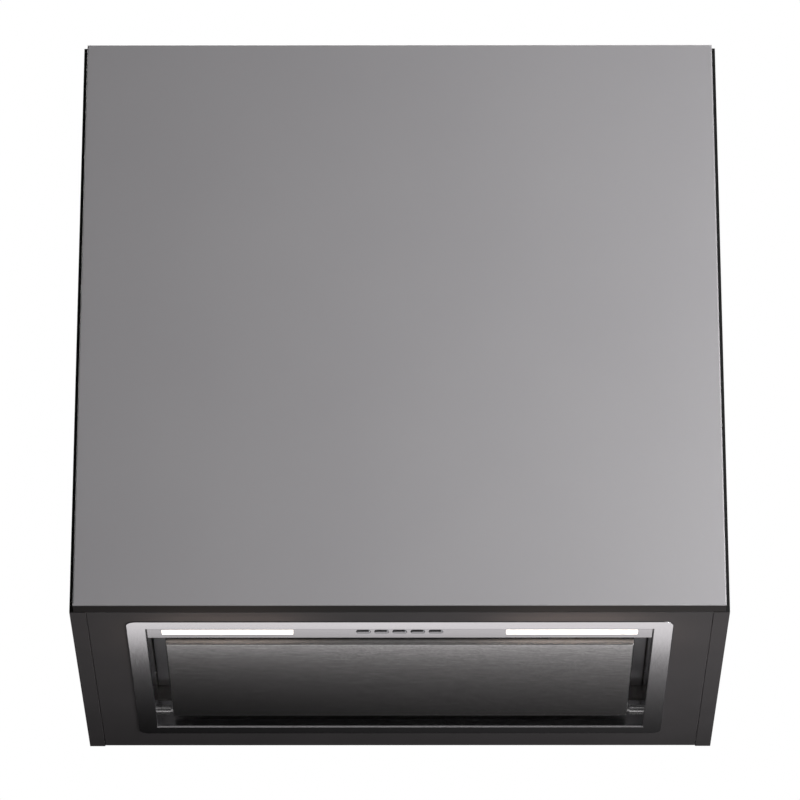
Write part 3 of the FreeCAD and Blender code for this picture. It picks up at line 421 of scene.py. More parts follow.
@dataclass(frozen=True)
class BrushedSteel:
    """Stainless sheet with fine brushing, and a share of short scratches among the long ones.

    The grain is in cycles per metre along and across the brushing. A turned-up front can be dulled:
    the dulling fades out towards its lip, so that the top of the fold stays a dark mirror as painted
    shade of the strip in front of it, and in part towards its bend, which leaves the bend darker.
    """

    name: str
    brush: Brush
    base: Colour = (0.56, 0.555, 0.565)
    dark: Colour = (0.47, 0.465, 0.475)
    smooth: float = 0.14
    coarse: float = 0.20
    grain: tuple[float, float] = (30, 700)
    grain_depth: float = 0.006 * MM
    octave_share: float = 0.6
    short: float = 0.0
    short_stretch: float = 0.6
    dull_fold: float = 0.0
    fold_facing: float = -0.8
    strip_shadow_fade: tuple[float, float] = (10 * MM, 6.5 * MM)
    bend_fade: tuple[float, float] = (5.2 * MM, 6.2 * MM)
    bend_share: float = 0.4
    middle_y: float = 0.0
    half_x: float = 0.0
    half_y: float = 0.0

    def make(self) -> bpy.types.Material:
        """Build the material."""
        shader = Shader(self.name)
        streak = self.streaks(shader)
        shader.colour(shader.blend(shader.spread(streak, 0, 1), self.dark, self.base))
        shader.rough(shader.spread(streak, self.smooth, self.coarse))
        shader.bump(streak, self.grain_depth, strength=0.3)
        shader.put(Metallic=1.0)
        if self.dull_fold:
            self.dull(shader)
        return shader.material

    def streaks(self, shader: Shader) -> Socket:
        """Streaks along X or along each side of the frame, mixed with short scratches.

        Args:
            shader: The material's nodes.

        Returns:
            The socket of the pattern, from 0 to 1.
        """
        along, over = self.grain
        streak = shader.noise(shader.place((along, over, over)), coarse=self.octave_share)
        if self.brush is Brush.ROUND_THE_FRAME:
            across = shader.noise(shader.place((over, along, over)), coarse=self.octave_share)
            streak = self.mitred(shader, streak, across)
        if not self.short:
            return streak
        fine = shader.place((self.short_stretch * over, over, over))
        scratch = shader.noise(fine, detail=3.0, coarse=self.octave_share)
        short = shader.maths("MULTIPLY", scratch, self.short)
        return shader.maths("ADD", short, shader.maths("MULTIPLY", streak, 1 - self.short))

    def mitred(self, shader: Shader, level: Socket, upright: Socket) -> Socket:
        """Choose the streaks by side of the frame, split along its mitres.

        Args:
            shader: The material's nodes.
            level: Streaks of the front and rear sides.
            upright: Streaks of the left and right sides.

        Returns:
            The socket of the chosen streaks.
        """
        out_x = shader.maths("SUBTRACT", shader.maths("ABSOLUTE", shader.along("X")), self.half_x)
        from_middle = shader.maths("SUBTRACT", shader.along("Y"), self.middle_y)
        out_y = shader.maths("SUBTRACT", shader.maths("ABSOLUTE", from_middle), self.half_y)
        on_side = shader.maths("GREATER_THAN", out_x, out_y)
        pick = shader.add("Mix", data_type="FLOAT")
        shader.join(on_side, pick.inputs["Factor"])
        shader.join(level, pick.inputs[2])
        shader.join(upright, pick.inputs[3])
        return pick.outputs[0]

    def dull(self, shader: Shader) -> None:
        """Make the turned-up front less of a mirror, but keep its top a dark mirror as painted shade of
        the strip.

        Args:
            shader: The material's nodes.
        """
        on_fold = shader.maths("LESS_THAN", shader.facing("Y"), self.fold_facing)
        # painted shade: the fold's top, behind the strip, keeps its dark mirror; it is also darker
        # towards the bend
        out_of_painted_shadow = shader.ramp(shader.along("Z"), *self.strip_shadow_fade)
        above_bend = shader.ramp(shader.along("Z"), *self.bend_fade, low=self.bend_share)
        painted_shade_and_highlight_band = shader.maths("MULTIPLY", out_of_painted_shadow, above_bend)
        dullness = shader.maths("MULTIPLY", shader.maths("MULTIPLY", on_fold, self.dull_fold), painted_shade_and_highlight_band)
        shader.join(shader.maths("SUBTRACT", 1.0, dullness), shader.surface.inputs["Metallic"])


@dataclass(frozen=True)
class Galvanised:
    """Zinc coated sheet with spangle."""

    name: str = "galvanised_sheet"
    pale: Colour = (0.39, 0.375, 0.365)
    dark: Colour = (0.325, 0.312, 0.305)
    spangle: float = 150
    frost: float = 300
    frost_depth: float = 0.03 * MM
    smooth: float = 0.42
    coarse: float = 0.48

    def make(self) -> bpy.types.Material:
        """Build the material from cells with their own tone and gloss."""
        shader = Shader(self.name)
        cells = shader.add("TexVoronoi")
        cells.inputs["Scale"].default_value = 1.0
        shader.join(shader.place(self.spangle), cells.inputs["Vector"])
        tone = shader.add("SeparateColor")
        shader.join(cells.outputs["Color"], tone.inputs["Color"])
        shader.colour(shader.blend(tone.outputs["Red"], self.dark, self.pale))
        shader.rough(shader.spread(tone.outputs["Green"], self.smooth, self.coarse))
        frost = shader.noise(shader.place(self.frost), detail=3.0)
        shader.bump(frost, self.frost_depth, strength=0.3)
        shader.put(Metallic=1.0)
        return shader.material


@dataclass(frozen=True)
class Metal:
    """A bare or plated metal with light scratches, which lie at a slant."""

    name: str
    base: Colour
    worn: Colour
    smooth: float
    coarse: float
    scratches: Point = (260, 1400, 700)
    slant: float = 35.0
    scratch_depth: float = 0.01 * MM

    def make(self) -> bpy.types.Material:
        """Build the material."""
        shader = Shader(self.name)
        scratch = shader.noise(shader.place(self.scratches, self.slant), coarse=0.65)
        shader.colour(shader.blend(shader.spread(scratch, 0, 1), self.worn, self.base))
        shader.rough(shader.spread(scratch, self.smooth, self.coarse))
        shader.bump(scratch, self.scratch_depth, strength=0.4)
        shader.put(Metallic=1.0)
        return shader.material


@dataclass(frozen=True)
class Plastic:
    """Moulded plastic with a spark finish."""

    name: str
    base: Colour
    pale: Colour
    smooth: float = 0.42
    coarse: float = 0.55
    spark_depth: float = 0.03 * MM
    spark: float = 1100
    patches: float = 45

    def make(self) -> bpy.types.Material:
        """Build the material."""
        shader = Shader(self.name)
        spark = shader.noise(shader.place(self.spark), detail=3.0)
        shader.colour(shader.patches(self.patches, self.base, self.pale))
        shader.rough(shader.spread(spark, self.smooth, self.coarse))
        shader.bump(spark, self.spark_depth, strength=0.45)
        return shader.material


@dataclass(frozen=True)
class OpalLight:
    """Lit opal lens, a little brighter over each diode."""

    name: str = "opal_light"
    base: Colour = (0.92, 0.92, 0.90)
    glow: Colour = (1.0, 0.955, 0.90)
    pitch: float = 10 * MM
    ripple: float = 0.12
    strength: float = 1.05

    def make(self) -> bpy.types.Material:
        """Build the material, with waves of light along X at the pitch of the diodes."""
        shader = Shader(self.name)
        turn = shader.maths("MULTIPLY", shader.along("X"), 2 * math.pi / self.pitch)
        wave = shader.maths("MULTIPLY", shader.maths("COSINE", turn), self.ripple)
        level = shader.maths("MULTIPLY", shader.maths("ADD", wave, 1.0), self.strength)
        shader.join(level, shader.surface.inputs["Emission Strength"])
        shader.put(Emission_Color=(*self.glow, 1.0), Base_Color=(*self.base, 1.0), Roughness=0.35)
        return shader.material


@dataclass(frozen=True)
class CircuitBoard:
    """Solder mask with faint tracks."""

    name: str = "solder_mask"
    mask: Colour = (0.02, 0.12, 0.06)
    track: Colour = (0.05, 0.22, 0.10)
    rows: Point = (110, 160, 110)
    track_width: float = 0.08

    def make(self) -> bpy.types.Material:
        """Build the material from rows of tracks."""
        shader = Shader(self.name)
        tracks = shader.add("TexBrick")
        tracks.inputs["Scale"].default_value = 1.0
        tracks.inputs["Color1"].default_value = (*self.mask, 1.0)
        tracks.inputs["Color2"].default_value = (*self.mask, 1.0)
        tracks.inputs["Mortar"].default_value = (*self.track, 1.0)
        tracks.inputs["Mortar Size"].default_value = self.track_width
        shader.join(shader.place(self.rows), tracks.inputs["Vector"])
        shader.colour(tracks.outputs["Color"])
        shader.put(Roughness=0.35)
        return shader.material


@dataclass(frozen=True)
class Laminations:
    """Stack of stamped sheets, edge on, along X."""

    name: str = "stacked_core"
    sheet: Colour = (0.30, 0.29, 0.28)
    gap: Colour = (0.12, 0.11, 0.10)
    pitch: float = 1.0 * MM

    def make(self) -> bpy.types.Material:
        """Build the material from stripes at the pitch of the sheets."""
        shader = Shader(self.name)
        bands = shader.add("TexWave", bands_direction="X")
        bands.inputs["Scale"].default_value = 0.5
        bands.inputs["Distortion"].default_value = 0.0
        shader.join(shader.place((1 / self.pitch, 1, 1)), bands.inputs["Vector"])
        shader.colour(shader.blend(bands.outputs["Fac"], self.gap, self.sheet))
        shader.put(Metallic=1.0, Roughness=0.45)
        return shader.material


@dataclass
class Surface:
    """Vertices and quads of a mesh, as whole arrays."""

    points: np.ndarray
    quads: np.ndarray

    def moved(self, matrix: Matrix) -> Surface:
        """The same surface after a move.

        Args:
            matrix: The move.

        Returns:
            A new surface.
        """
        turn = np.array(matrix.to_3x3())
        return Surface(self.points @ turn.T + np.array(matrix.translation), self.quads)

    @staticmethod
    def together(parts: list[Surface]) -> Surface:
        """Several surfaces as one.

        Args:
            parts: The surfaces.

        Returns:
            One surface with all their points and quads.
        """
        starts = np.cumsum([0] + [len(part.points) for part in parts[:-1]])
        quads = [part.quads + start for part, start in zip(parts, starts)]
        return Surface(np.concatenate([part.points for part in parts]), np.concatenate(quads))

    @staticmethod
    def grid_quads(rows: int, columns: int, closed: bool = False) -> np.ndarray:
        """Quads between neighbours of a grid.

        Args:
            rows: Number of rows.
            columns: Number of columns.
            closed: Whether the last column joins the first.

        Returns:
            Indices, four to a row.
        """
        across = columns if closed else columns - 1
        row, column = np.meshgrid(np.arange(rows - 1), np.arange(across), indexing="ij")
        after = (column + 1) % columns
        corners = (row * columns + column, row * columns + after,
                   (row + 1) * columns + after, (row + 1) * columns + column)
        return np.stack([corner.ravel() for corner in corners], axis=1)

    def piece(self, name: str, capped: bool = False) -> bpy.types.Object:
        """Make a mesh object, with doubled points merged and its faces pointing outwards.

        Args:
            name: The piece's name.
            capped: Whether its open ends are closed with flat faces.

        Returns:
            The new object, at the origin.
        """
        mesh = bpy.data.meshes.new(name)
        mesh.from_pydata(self.points.tolist(), [], self.quads.tolist())
        work = bmesh.new()
        work.from_mesh(mesh)
        bmesh.ops.remove_doubles(work, verts=work.verts, dist=MERGE_DISTANCE)
        unused = [vertex for vertex in work.verts if not vertex.link_faces]
        bmesh.ops.delete(work, geom=unused, context="VERTS")
        if capped:
            bmesh.ops.holes_fill(work, edges=work.edges, sides=0)
        bmesh.ops.recalc_face_normals(work, faces=work.faces)
        work.to_mesh(mesh)
        work.free()
        made = bpy.data.objects.new(name, mesh)
        bpy.context.scene.collection.objects.link(made)
        return made


def lathe(radius: np.ndarray, height: np.ndarray, turns: int = 40,
          dip: Callable[[np.ndarray, np.ndarray], np.ndarray] | None = None, top: int = 0) -> Surface:
    """Turn a profile about Z: ring i at angle a lies at (r_i cos a, r_i sin a, h_i).

    Args:
        radius: Radius of each ring, 0 at a pole.
        height: Height of each ring.
        turns: Points to a ring.
        dip: Depth to take off at x and y, such as a driver's recess.
        top: How many rings the dip reaches.

    Returns:
        The closed surface.
    """
    angle = np.linspace(0, 2 * math.pi, turns, endpoint=False)
    x = np.outer(radius, np.cos(angle))
    y = np.outer(radius, np.sin(angle))
    z = np.repeat(height[:, None], turns, axis=1)
    if dip is not None:
        z[:top] -= dip(x[:top], y[:top])
    points = np.stack([x.ravel(), y.ravel(), z.ravel()], axis=1)
    return Surface(points, Surface.grid_quads(len(radius), turns, closed=True))


def loose_boxes(solid: bpy.types.Object) -> list[tuple[Vector, Vector]]:
    """Lowest and highest corner of each loose part of a solid's mesh.

    Args:
        solid: The solid's object.

    Returns:
        One pair of corners to a part.
    """
    work = bmesh.new()
    work.from_mesh(solid.data)
    bmesh.ops.remove_doubles(work, verts=work.verts, dist=MERGE_DISTANCE)
    left = set(work.verts)
    found = []
    while left:
        reach = [left.pop()]
        part = []
        while reach:
            vertex = reach.pop()
            part.append(vertex.co.copy())
            near = {edge.other_vert(vertex) for edge in vertex.link_edges} & left
            left -= near
            reach.extend(near)
        spots = np.array(part)
        found.append((Vector(spots.min(axis=0)), Vector(spots.max(axis=0))))
    work.free()
    return found


class Dresser:
    """Finishes by slot, and the calls that dress nodes and pieces."""

    def __init__(self, frame: dict, by_slot: dict[str, Finish], by_node: dict[str, Finish]) -> None:
        """Make every finish once and note each node's slot and body.

        Args:
            frame: What the frame's load gives.
            by_slot: A finish for each material slot.
            by_node: Finishes of nodes whose grain or tone differs from others in their slot.
        """
        self.nodes = frame["nodes"]
        self.slots = {row["node"]: row["material_slot"] for row in frame["record"]["subparts"]}
        bodies = frame["record"]["behaviour"]["bodies"]
        self.bodies = {node: body for body, members in bodies.items() for node in members}
        self.by_slot = {slot: finish.make() for slot, finish in by_slot.items()}
        self.by_node = {node: finish.make() for node, finish in by_node.items()}

    def material(self, node: str) -> bpy.types.Material:
        """A node's own finish, or that of its slot."""
        return self.by_node.get(node) or self.by_slot[self.slots[node]]

    def dress_nodes(self) -> None:
        """Give every solid the finish of its slot."""
        for name, made in self.nodes.items():
            made.data.materials.clear()
            made.data.materials.append(self.material(name))

    def stand_in(self, piece: bpy.types.Object, node: str) -> None:
        """Let a piece stand for a solid, with that solid's body and finish.

        Args:
            piece: The new piece.
            node: The solid's name.
        """
        piece.data.materials.clear()
        piece.data.materials.append(self.material(node))
        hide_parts(node)
        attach(piece, self.bodies[node])
        LOG.info("%s stands for %s", piece.name, node)


@dataclass(frozen=True)
class EasedEdges:
    """Edges of solids, eased by a small round so that they catch the light."""

    widths: dict[str, float]
    steps: int = 2
    sharp: float = math.radians(35)
    flat: float = math.radians(0.5)

    def build(self, dresser: Dresser) -> None:
        """Copy each solid's mesh, clear its flat edges and round the sharp ones.

        Args:
            dresser: Where the pieces get their finish.
        """
        for node, width in self.widths.items():
            dresser.stand_in(self.eased(dresser.nodes[node], width), node)

    def eased(self, solid: bpy.types.Object, width: float) -> bpy.types.Object:
        """One solid's copy with rounded edges.

        Args:
            solid: The solid's object.
            width: How far a round reaches from its edge.

        Returns:
            The new piece.
        """
        mesh = bpy.data.meshes.new(solid.name + "_eased")
        work = bmesh.new()
        work.from_mesh(solid.data)
        bmesh.ops.remove_doubles(work, verts=work.verts, dist=MERGE_DISTANCE)
        bmesh.ops.dissolve_limit(work, angle_limit=self.flat, verts=work.verts, edges=work.edges)
        work.to_mesh(mesh)
        work.free()
        mesh.shade_smooth()
        piece = bpy.data.objects.new(mesh.name, mesh)
        bpy.context.scene.collection.objects.link(piece)
        rounding = piece.modifiers.new("Rounding", "BEVEL")
        rounding.width = width
        rounding.segments = self.steps
        rounding.limit_method = "ANGLE"
        rounding.angle_limit = self.sharp
        rounding.use_clamp_overlap = True
        flattening = piece.modifiers.new("Flattening", "WEIGHTED_NORMAL")
        flattening.mode = "FACE_AREA"
        flattening.weight = 100
        return piece


@dataclass(frozen=True)
class CrossRecess:
    """A cross driver's recess: two bars that cross, with sloping ends and walls.

    The slopes are shares of the span and of the width.
    """

    span: float
    width: float
    depth: float
    end_slope: float = 0.35
    wall_slope: float = 0.4

    def bar(self, along: np.ndarray, across: np.ndarray) -> np.ndarray:
        """One bar's share of the depth: 1 inside, falling to 0 at its ends and walls.

        Args:
            along: Distances along the bar.
            across: Distances across it.

        Returns:
            Shares from 0 to 1.
        """
        ends = np.clip((self.span / 2 - np.abs(along)) / (self.end_slope * self.span), 0, 1)
        walls = np.clip((self.width - np.abs(across)) / (self.wall_slope * self.width), 0, 1)
        return ends * walls

    def __call__(self, x: np.ndarray, y: np.ndarray) -> np.ndarray:
        """Depth below the head at a point: that of the deeper bar.

        Args:
            x: Distances along the first bar.
            y: Distances along the second bar.

        Returns:
            Depths below the head.
        """
        return self.depth * np.maximum(self.bar(x, y), self.bar(y, x))


@dataclass(frozen=True)
class Fastener:
    """A turned fastener: its head stands on the plane Z = 0 and its shank goes down."""

    head: float
    rise: float
    sink: float
    shank: float
    length: float
    recess: CrossRecess | None = None
    crown: float = 0.9
    rings: int = 22

    def surface(self) -> Surface:
        """Profile from the top of the head to the tip of the shank, turned about Z.

        The top is a low dome, h = rise (1 - crown (r / R)^2), the head's side goes down to -sink,
        and the shank ends in a short cone.

        Returns:
            The closed surface.
        """
        share = np.linspace(0, 1, self.rings)
        dome_r = self.head * share
        dome_h = self.rise * (1 - self.crown * share ** 2)
        side_r = np.array([self.head, self.shank, self.shank, 0.0])
        side_h = np.array([-self.sink, -self.sink, self.shank - self.length, -self.length])
        radius = np.concatenate([dome_r, side_r])
        height = np.concatenate([dome_h, side_h])
        return lathe(radius, height, dip=self.recess, top=self.rings)


@dataclass(frozen=True)
class Fasteners:
    """Screws and rivets with real heads, at the places of their solids."""

    board_screw: Fastener = Fastener(
        head=4.4 * MM, rise=0.2 * MM, sink=2.7 * MM, shank=2.4 * MM, length=44 * MM,
        recess=CrossRecess(span=5.6 * MM, width=0.8 * MM, depth=1.4 * MM))
    clip_screw: Fastener = Fastener(
        head=3.9 * MM, rise=1.4 * MM, sink=1.1 * MM, shank=1.9 * MM, length=6.0 * MM,
        recess=CrossRecess(span=4.6 * MM, width=0.7 * MM, depth=1.2 * MM))
    rivet: Fastener = Fastener(
        head=3.2 * MM, rise=1.0 * MM, sink=0.2 * MM, shank=1.55 * MM, length=3.4 * MM)

    def build(self, dresser: Dresser) -> None:
        """Set a fastener at every solid of each fastener node.

        Args:
            dresser: Where the pieces get their finish.
        """
        for node, fastener, axis in (("housing_screws", self.board_screw, Axis.X),
                                     ("clip_screws", self.clip_screw, Axis.X),
                                     ("casing_rivets", self.rivet, Axis.Y)):
            middle = self.middle_of(node, axis)
            parts = [fastener.surface().moved(self.seat(low, high, axis, middle, fastener))
                     for low, high in loose_boxes(dresser.nodes[node])]
            piece = Surface.together(parts).piece(node + "_turned")
            piece.data.shade_smooth()
            piece.data.set_sharp_from_angle(angle=CREASE)
            dresser.stand_in(piece, node)

    @staticmethod
    def middle_of(node: str, axis: Axis) -> float:
        """Middle of a node's box along an axis, which tells its two ends apart."""
        low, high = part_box(node)
        return (low[axis] + high[axis]) / 2

    @staticmethod
    def seat(low: Vector, high: Vector, axis: Axis, middle: float, fastener: Fastener) -> Matrix:
        """Where a fastener goes: its head outwards along an axis, flush with its solid's outer end.

        Args:
            low: Lowest corner of its solid.
            high: Highest corner of its solid.
            axis: The axis.
            middle: Middle of all such solids along the axis.
            fastener: The fastener.

        Returns:
            The move from the fastener's own frame.
        """
        centre = (low + high) / 2
        outwards = Vector((0, 0, 0))
        outwards[axis] = 1 if centre[axis] > middle else -1
        end = high[axis] if centre[axis] > middle else low[axis]
        centre[axis] = end - outwards[axis] * fastener.rise
        turn = outwards.to_track_quat("Z", "Y").to_matrix().to_4x4()
        return Matrix.Translation(centre) @ turn


@dataclass(frozen=True)
class HingeBlocks:
    """Blocks that carry the suction panel's pins, each with two half-round ribs along its front."""

    upper_rib: float = 1.5 * MM
    lower_rib: float = 1.3 * MM
    brow: float = 1.7 * MM
    points: int = 9

    def profile(self, front: float, rear: float, bottom: float, top: float) -> np.ndarray:
        """Outline of a block seen along X: a box whose front has two ribs under a plain brow.

        Each rib is a half circle, y = face - r cos t, z = middle + r sin t, with t from 90 to -90.

        Args:
            front: Lowest Y.
            rear: Highest Y.
            bottom: Lowest Z.
            top: Highest Z.

        Returns:
            Points as Y and Z, once round.
        """
        face = front + self.upper_rib
        turn = np.linspace(math.pi / 2, -math.pi / 2, self.points)
        ribs = []
        middle = top - self.brow - self.upper_rib
        for radius in (self.upper_rib, self.lower_rib):
            ribs.append(np.stack([face - radius * np.cos(turn), middle + radius * np.sin(turn)], axis=1))
            middle -= self.upper_rib + self.lower_rib
        corners = np.array([(face, bottom), (rear, bottom), (rear, top), (face, top)])
        return np.concatenate([*ribs, corners])

    def build(self, dresser: Dresser) -> None:
        """Draw the profile out along X on both sides.

        Args:
            dresser: Where the piece gets its finish.
        """
        blocks = []
        for low, high in loose_boxes(dresser.nodes["panel_hinge_brackets"]):
            outline = self.profile(low.y, high.y, low.z, high.z)
            ends = [np.column_stack([np.full(len(outline), x), outline]) for x in (low.x, high.x)]
            quads = Surface.grid_quads(len(ends), len(outline), closed=True)
            blocks.append(Surface(np.concatenate(ends), quads))
        piece = Surface.together(blocks).piece("panel_hinge_blocks", capped=True)
        piece.data.shade_smooth()
        piece.data.set_sharp_from_angle(angle=CREASE)
        dresser.stand_in(piece, "panel_hinge_brackets")


@dataclass(frozen=True)
class FilterMesh:
    """Grease filter: expanded metal folded in pleats, in the space of its solid.

    The strands stop short of the box that the latch slides in, at the middle of the front.
    """

    pleats: int = 36
    pitch: float = 5.2 * MM
    lean: float = 0.55
    strand: float = 1.1 * MM
    sheet: float = 0.45 * MM
    latch_half: float = 23 * MM
    latch_depth: float = 25 * MM

    def build(self, dresser: Dresser) -> None:
        """Weave two families of strands across the pleats.

        A strand that starts at c lies at y = c + s lean x, s = 1 or -1, and its height swings from
        crest to crest of the pleats.

        Args:
            dresser: Where the piece gets its finish.
        """
        low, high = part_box("filter_mesh")
        folds = 2 * self.pleats + 1
        x = np.linspace(low.x, high.x, folds)
        swing = (high.z - low.z) / 2 - self.sheet
        z = (low.z + high.z) / 2 + swing * np.where(np.arange(folds) % 2, -1.0, 1.0)
        parts = [self.strands(x, z, low.y, high.y, slope) for slope in (self.lean, -self.lean)]
        piece = Surface.together(parts).piece("filter_mesh_strands")
        wall = piece.modifiers.new("Sheet", "SOLIDIFY")
        wall.thickness = self.sheet
        wall.offset = 0.0
        dresser.stand_in(piece, "filter_mesh")

    def strands(self, x: np.ndarray, z: np.ndarray, front: float, rear: float,
                slope: float) -> Surface:
        """One family of parallel strands, cut to the frame's inside and round the latch's box.

        Args:
            x: Places of the folds.
            z: Height at each fold.
            front: Lowest Y.
            rear: Highest Y.
            slope: Rise in Y for each metre of X.

        Returns:
            The strands as flat ribbons.
        """
        reach = abs(slope) * (x[-1] - x[0]) / 2
        starts = np.arange(front - reach, rear + reach, self.pitch)
        middle = starts[:, None] + slope * x[None, :]
        edges = np.stack([middle - self.strand / 2, middle + self.strand / 2], axis=2)
        edges = np.clip(edges, front, rear)
        points = np.stack([np.broadcast_to(x[None, :, None], edges.shape), edges,
                           np.broadcast_to(z[None, :, None], edges.shape)], axis=3)
        one = Surface.grid_quads(len(x), 2)
        quads = (one[None] + (np.arange(len(starts)) * 2 * len(x))[:, None, None]).reshape(-1, 4)
        inside = (middle > front) & (middle < rear)
        inside &= (np.abs(x)[None, :] > self.latch_half) | (middle > front + self.latch_depth)
        keep = (inside[:, :-1] & inside[:, 1:]).reshape(-1)
        return Surface(points.reshape(-1, 3), quads[keep])


@dataclass(frozen=True)
class SoftBox:
    """A soft box that faces a point, with its power in watts. The camera doesn't see it."""

    name: str
    place: Point | Vector
    aim: Point | Vector
    size: tuple[float, float]
    power: float

    def hang(self) -> bpy.types.Object:
        """Make the lamp.

        Returns:
            The lamp's object.
        """
        data = bpy.data.lights.new(self.name, "AREA")
        data.shape = "RECTANGLE"
        data.size, data.size_y = self.size
        data.energy = self.power
        lamp = bpy.data.objects.new(self.name, data)
        lamp.location = self.place
        towards = Vector(self.aim) - Vector(self.place)
        lamp.rotation_euler = towards.to_track_quat("-Z", "Y").to_euler()
        lamp.visible_camera = False
        bpy.context.scene.collection.objects.link(lamp)
        return lamp


@dataclass(frozen=True)
class Reflector:
    """A card at the wall below the hood, which the steel of the underside mirrors.

    It is dark beside the rear edge and brightens downwards: its light is low e^(depth / fold), times
    a share that rises from left to right, and it climbs smoothly to a bright lower half. The camera
    doesn't see it.
    """

    off_wall: float = 2 * MM
    top: float = -2 * MM
    bottom: float = -0.30
    half_width: float = 0.42
    fold: float = 36 * MM
    low: float = 0.0080
    side_reach: float = 0.25
    left_share: float = 0.8
    right_share: float = 2.8
    glow_from: float = -95 * MM
    glow_to: float = -130 * MM
    glow: float = 1.2
    brightest: float = 1.3
    tint: Colour = (1.0, 0.97, 0.98)

    def build(self) -> None:
        """Hang the card."""
        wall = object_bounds()[1].y + self.off_wall
        left, right = -self.half_width, self.half_width
        corners = np.array([(left, wall, self.bottom), (right, wall, self.bottom),
                            (right, wall, self.top), (left, wall, self.top)])
        hung = stage_sheet("wall_reflector", corners)
        hung.visible_camera = False
        hung.visible_diffuse = False
        hung.visible_shadow = False
        hung.data.materials.append(self.material())

    def material(self) -> bpy.types.Material:
        """A surface that only gives light."""
        shader = Shader("reflector")
        folds = shader.maths("MULTIPLY", shader.along("Z"), -1 / self.fold)
        dusk = shader.maths("MULTIPLY", shader.maths("EXPONENT", folds), self.low)
        sideways = shader.ramp(shader.along("X"), -self.side_reach, self.side_reach,
                               self.left_share, self.right_share)
        glow = shader.ramp(shader.along("Z"), self.glow_from, self.glow_to, 0.0, self.glow, Curve.SOFT)
        level = shader.maths("ADD", shader.maths("MULTIPLY", dusk, sideways), glow)
        level = shader.maths("MINIMUM", level, self.brightest)
        shader.put(Base_Color=(*BLACK, 1.0), Emission_Color=(*self.tint, 1.0), Roughness=1.0)
        shader.put(Specular_IOR_Level=0.0)
        shader.join(level, shader.surface.inputs["Emission Strength"])
        return shader.material


def stage_sheet(name: str, corners: np.ndarray) -> bpy.types.Object:
    """A flat stage piece.

    Args:
        name: Its name.
        corners: Four corners in order.

    Returns:
        The new object, marked as stage.
    """
    made = Surface(corners, np.array([[0, 1, 2, 3]])).piece(name)
    made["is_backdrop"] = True
    return made


@dataclass(frozen=True)
class Studio:
    """Floor, lights, the reflector at the wall, and a pale surround."""

    floor_z: float = -7.0
    floor_size: float = 40.0
    floor_grey: Colour = (0.80, 0.80, 0.80)
    floor_glow: float = 0.86
    surround: float = 0.122
    surround_tint: Colour = (1.0, 0.96, 0.97)
    lens_tint: Colour = (1.0, 0.79, 0.66)
    lens_drop: float = 40 * MM
    left_glow: float = 0.060
    right_glow: float = 0.077
    lamps: tuple[SoftBox, ...] = (
        SoftBox("key", (1.1, -1.1, 0.15), (0.1, -0.18, 0.25), (0.9, 1.2), 26.0),
        SoftBox("front_strip", (0.3, -2.4, -2.1), (0, 0, 0), (2.4, 0.5), 3.0),
        SoftBox("low_right", (1.0, -0.35, -0.6), (0.1, 0, 0), (0.5, 0.5), 8.4),
        SoftBox("fill", (-2.6, -3.2, 1.2), (0, 0, 0.3), (2.0, 2.0), 8.0),
        SoftBox("overhead", (0.4, 0.6, 3.2), (0, 0, 0.5), (2.4, 2.4), 110.0),
        SoftBox("rear", (-1.8, 2.6, 2.3), (0, 0.1, 0.3), (1.8, 1.8), 110.0))

    def build(self) -> None:
        """Set up everything that isn't part of the object."""
        self.floor()
        Reflector().build()
        self.surroundings()
        for lamp in self.lamps:
            lamp.hang()
        self.lens_glow("light_lens_left", self.left_glow)
        self.lens_glow("light_lens_right", self.right_glow)

    def floor(self) -> None:
        """Lay a plain pale floor well below the hood, which sends no light up to it."""
        half = self.floor_size / 2
        corners = np.array([(-half, -half, 0), (half, -half, 0), (half, half, 0), (-half, half, 0)])
        laid = stage_sheet("floor", corners + np.array((0, 0, self.floor_z)))
        laid.visible_diffuse = False
        laid.visible_glossy = False
        shader = Shader("pale_floor")
        shader.put(Base_Color=(*self.floor_grey, 1.0), Roughness=0.7)
        shader.put(Emission_Color=(*WHITE, 1.0), Emission_Strength=self.floor_glow)
        laid.data.materials.append(shader.material)

    def surroundings(self) -> None:
        """White behind the object, and a dimmer pale light from all round."""
        world = bpy.data.worlds.new("studio")
        bpy.context.scene.world = world
        world.use_nodes = True
        nodes, links = world.node_tree.nodes, world.node_tree.links
        ambient = nodes["Background"]
        ambient.inputs["Color"].default_value = (*self.surround_tint, 1.0)
        ambient.inputs["Strength"].default_value = self.surround
        backdrop = nodes.new("ShaderNodeBackground")
        backdrop.inputs["Color"].default_value = (*WHITE, 1.0)
        backdrop.inputs["Strength"].default_value = 1.0
        path = nodes.new("ShaderNodeLightPath")
        mix = nodes.new("ShaderNodeMixShader")
        links.new(path.outputs["Is Camera Ray"], mix.inputs[0])
        links.new(ambient.outputs[0], mix.inputs[1])
        links.new(backdrop.outputs[0], mix.inputs[2])
        links.new(mix.outputs[0], nodes["World Output"].inputs[0])

    def lens_glow(self, lens: str, power: float) -> None:
        """Spread a lit lens's warm light on what is round it, from just below the lens.

        Args:
            lens: The lens's node.
            power: Watts.
        """
        low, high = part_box(lens)
        place = (low + high) / 2
        place.z = low.z - self.lens_drop
        size = (high.x - low.x, high.y - low.y)
        lamp = SoftBox(lens + "_glow", place, place + Vector((0, 0, 1)), size, power).hang()
        lamp.data.color = self.lens_tint
        lamp.visible_glossy = False


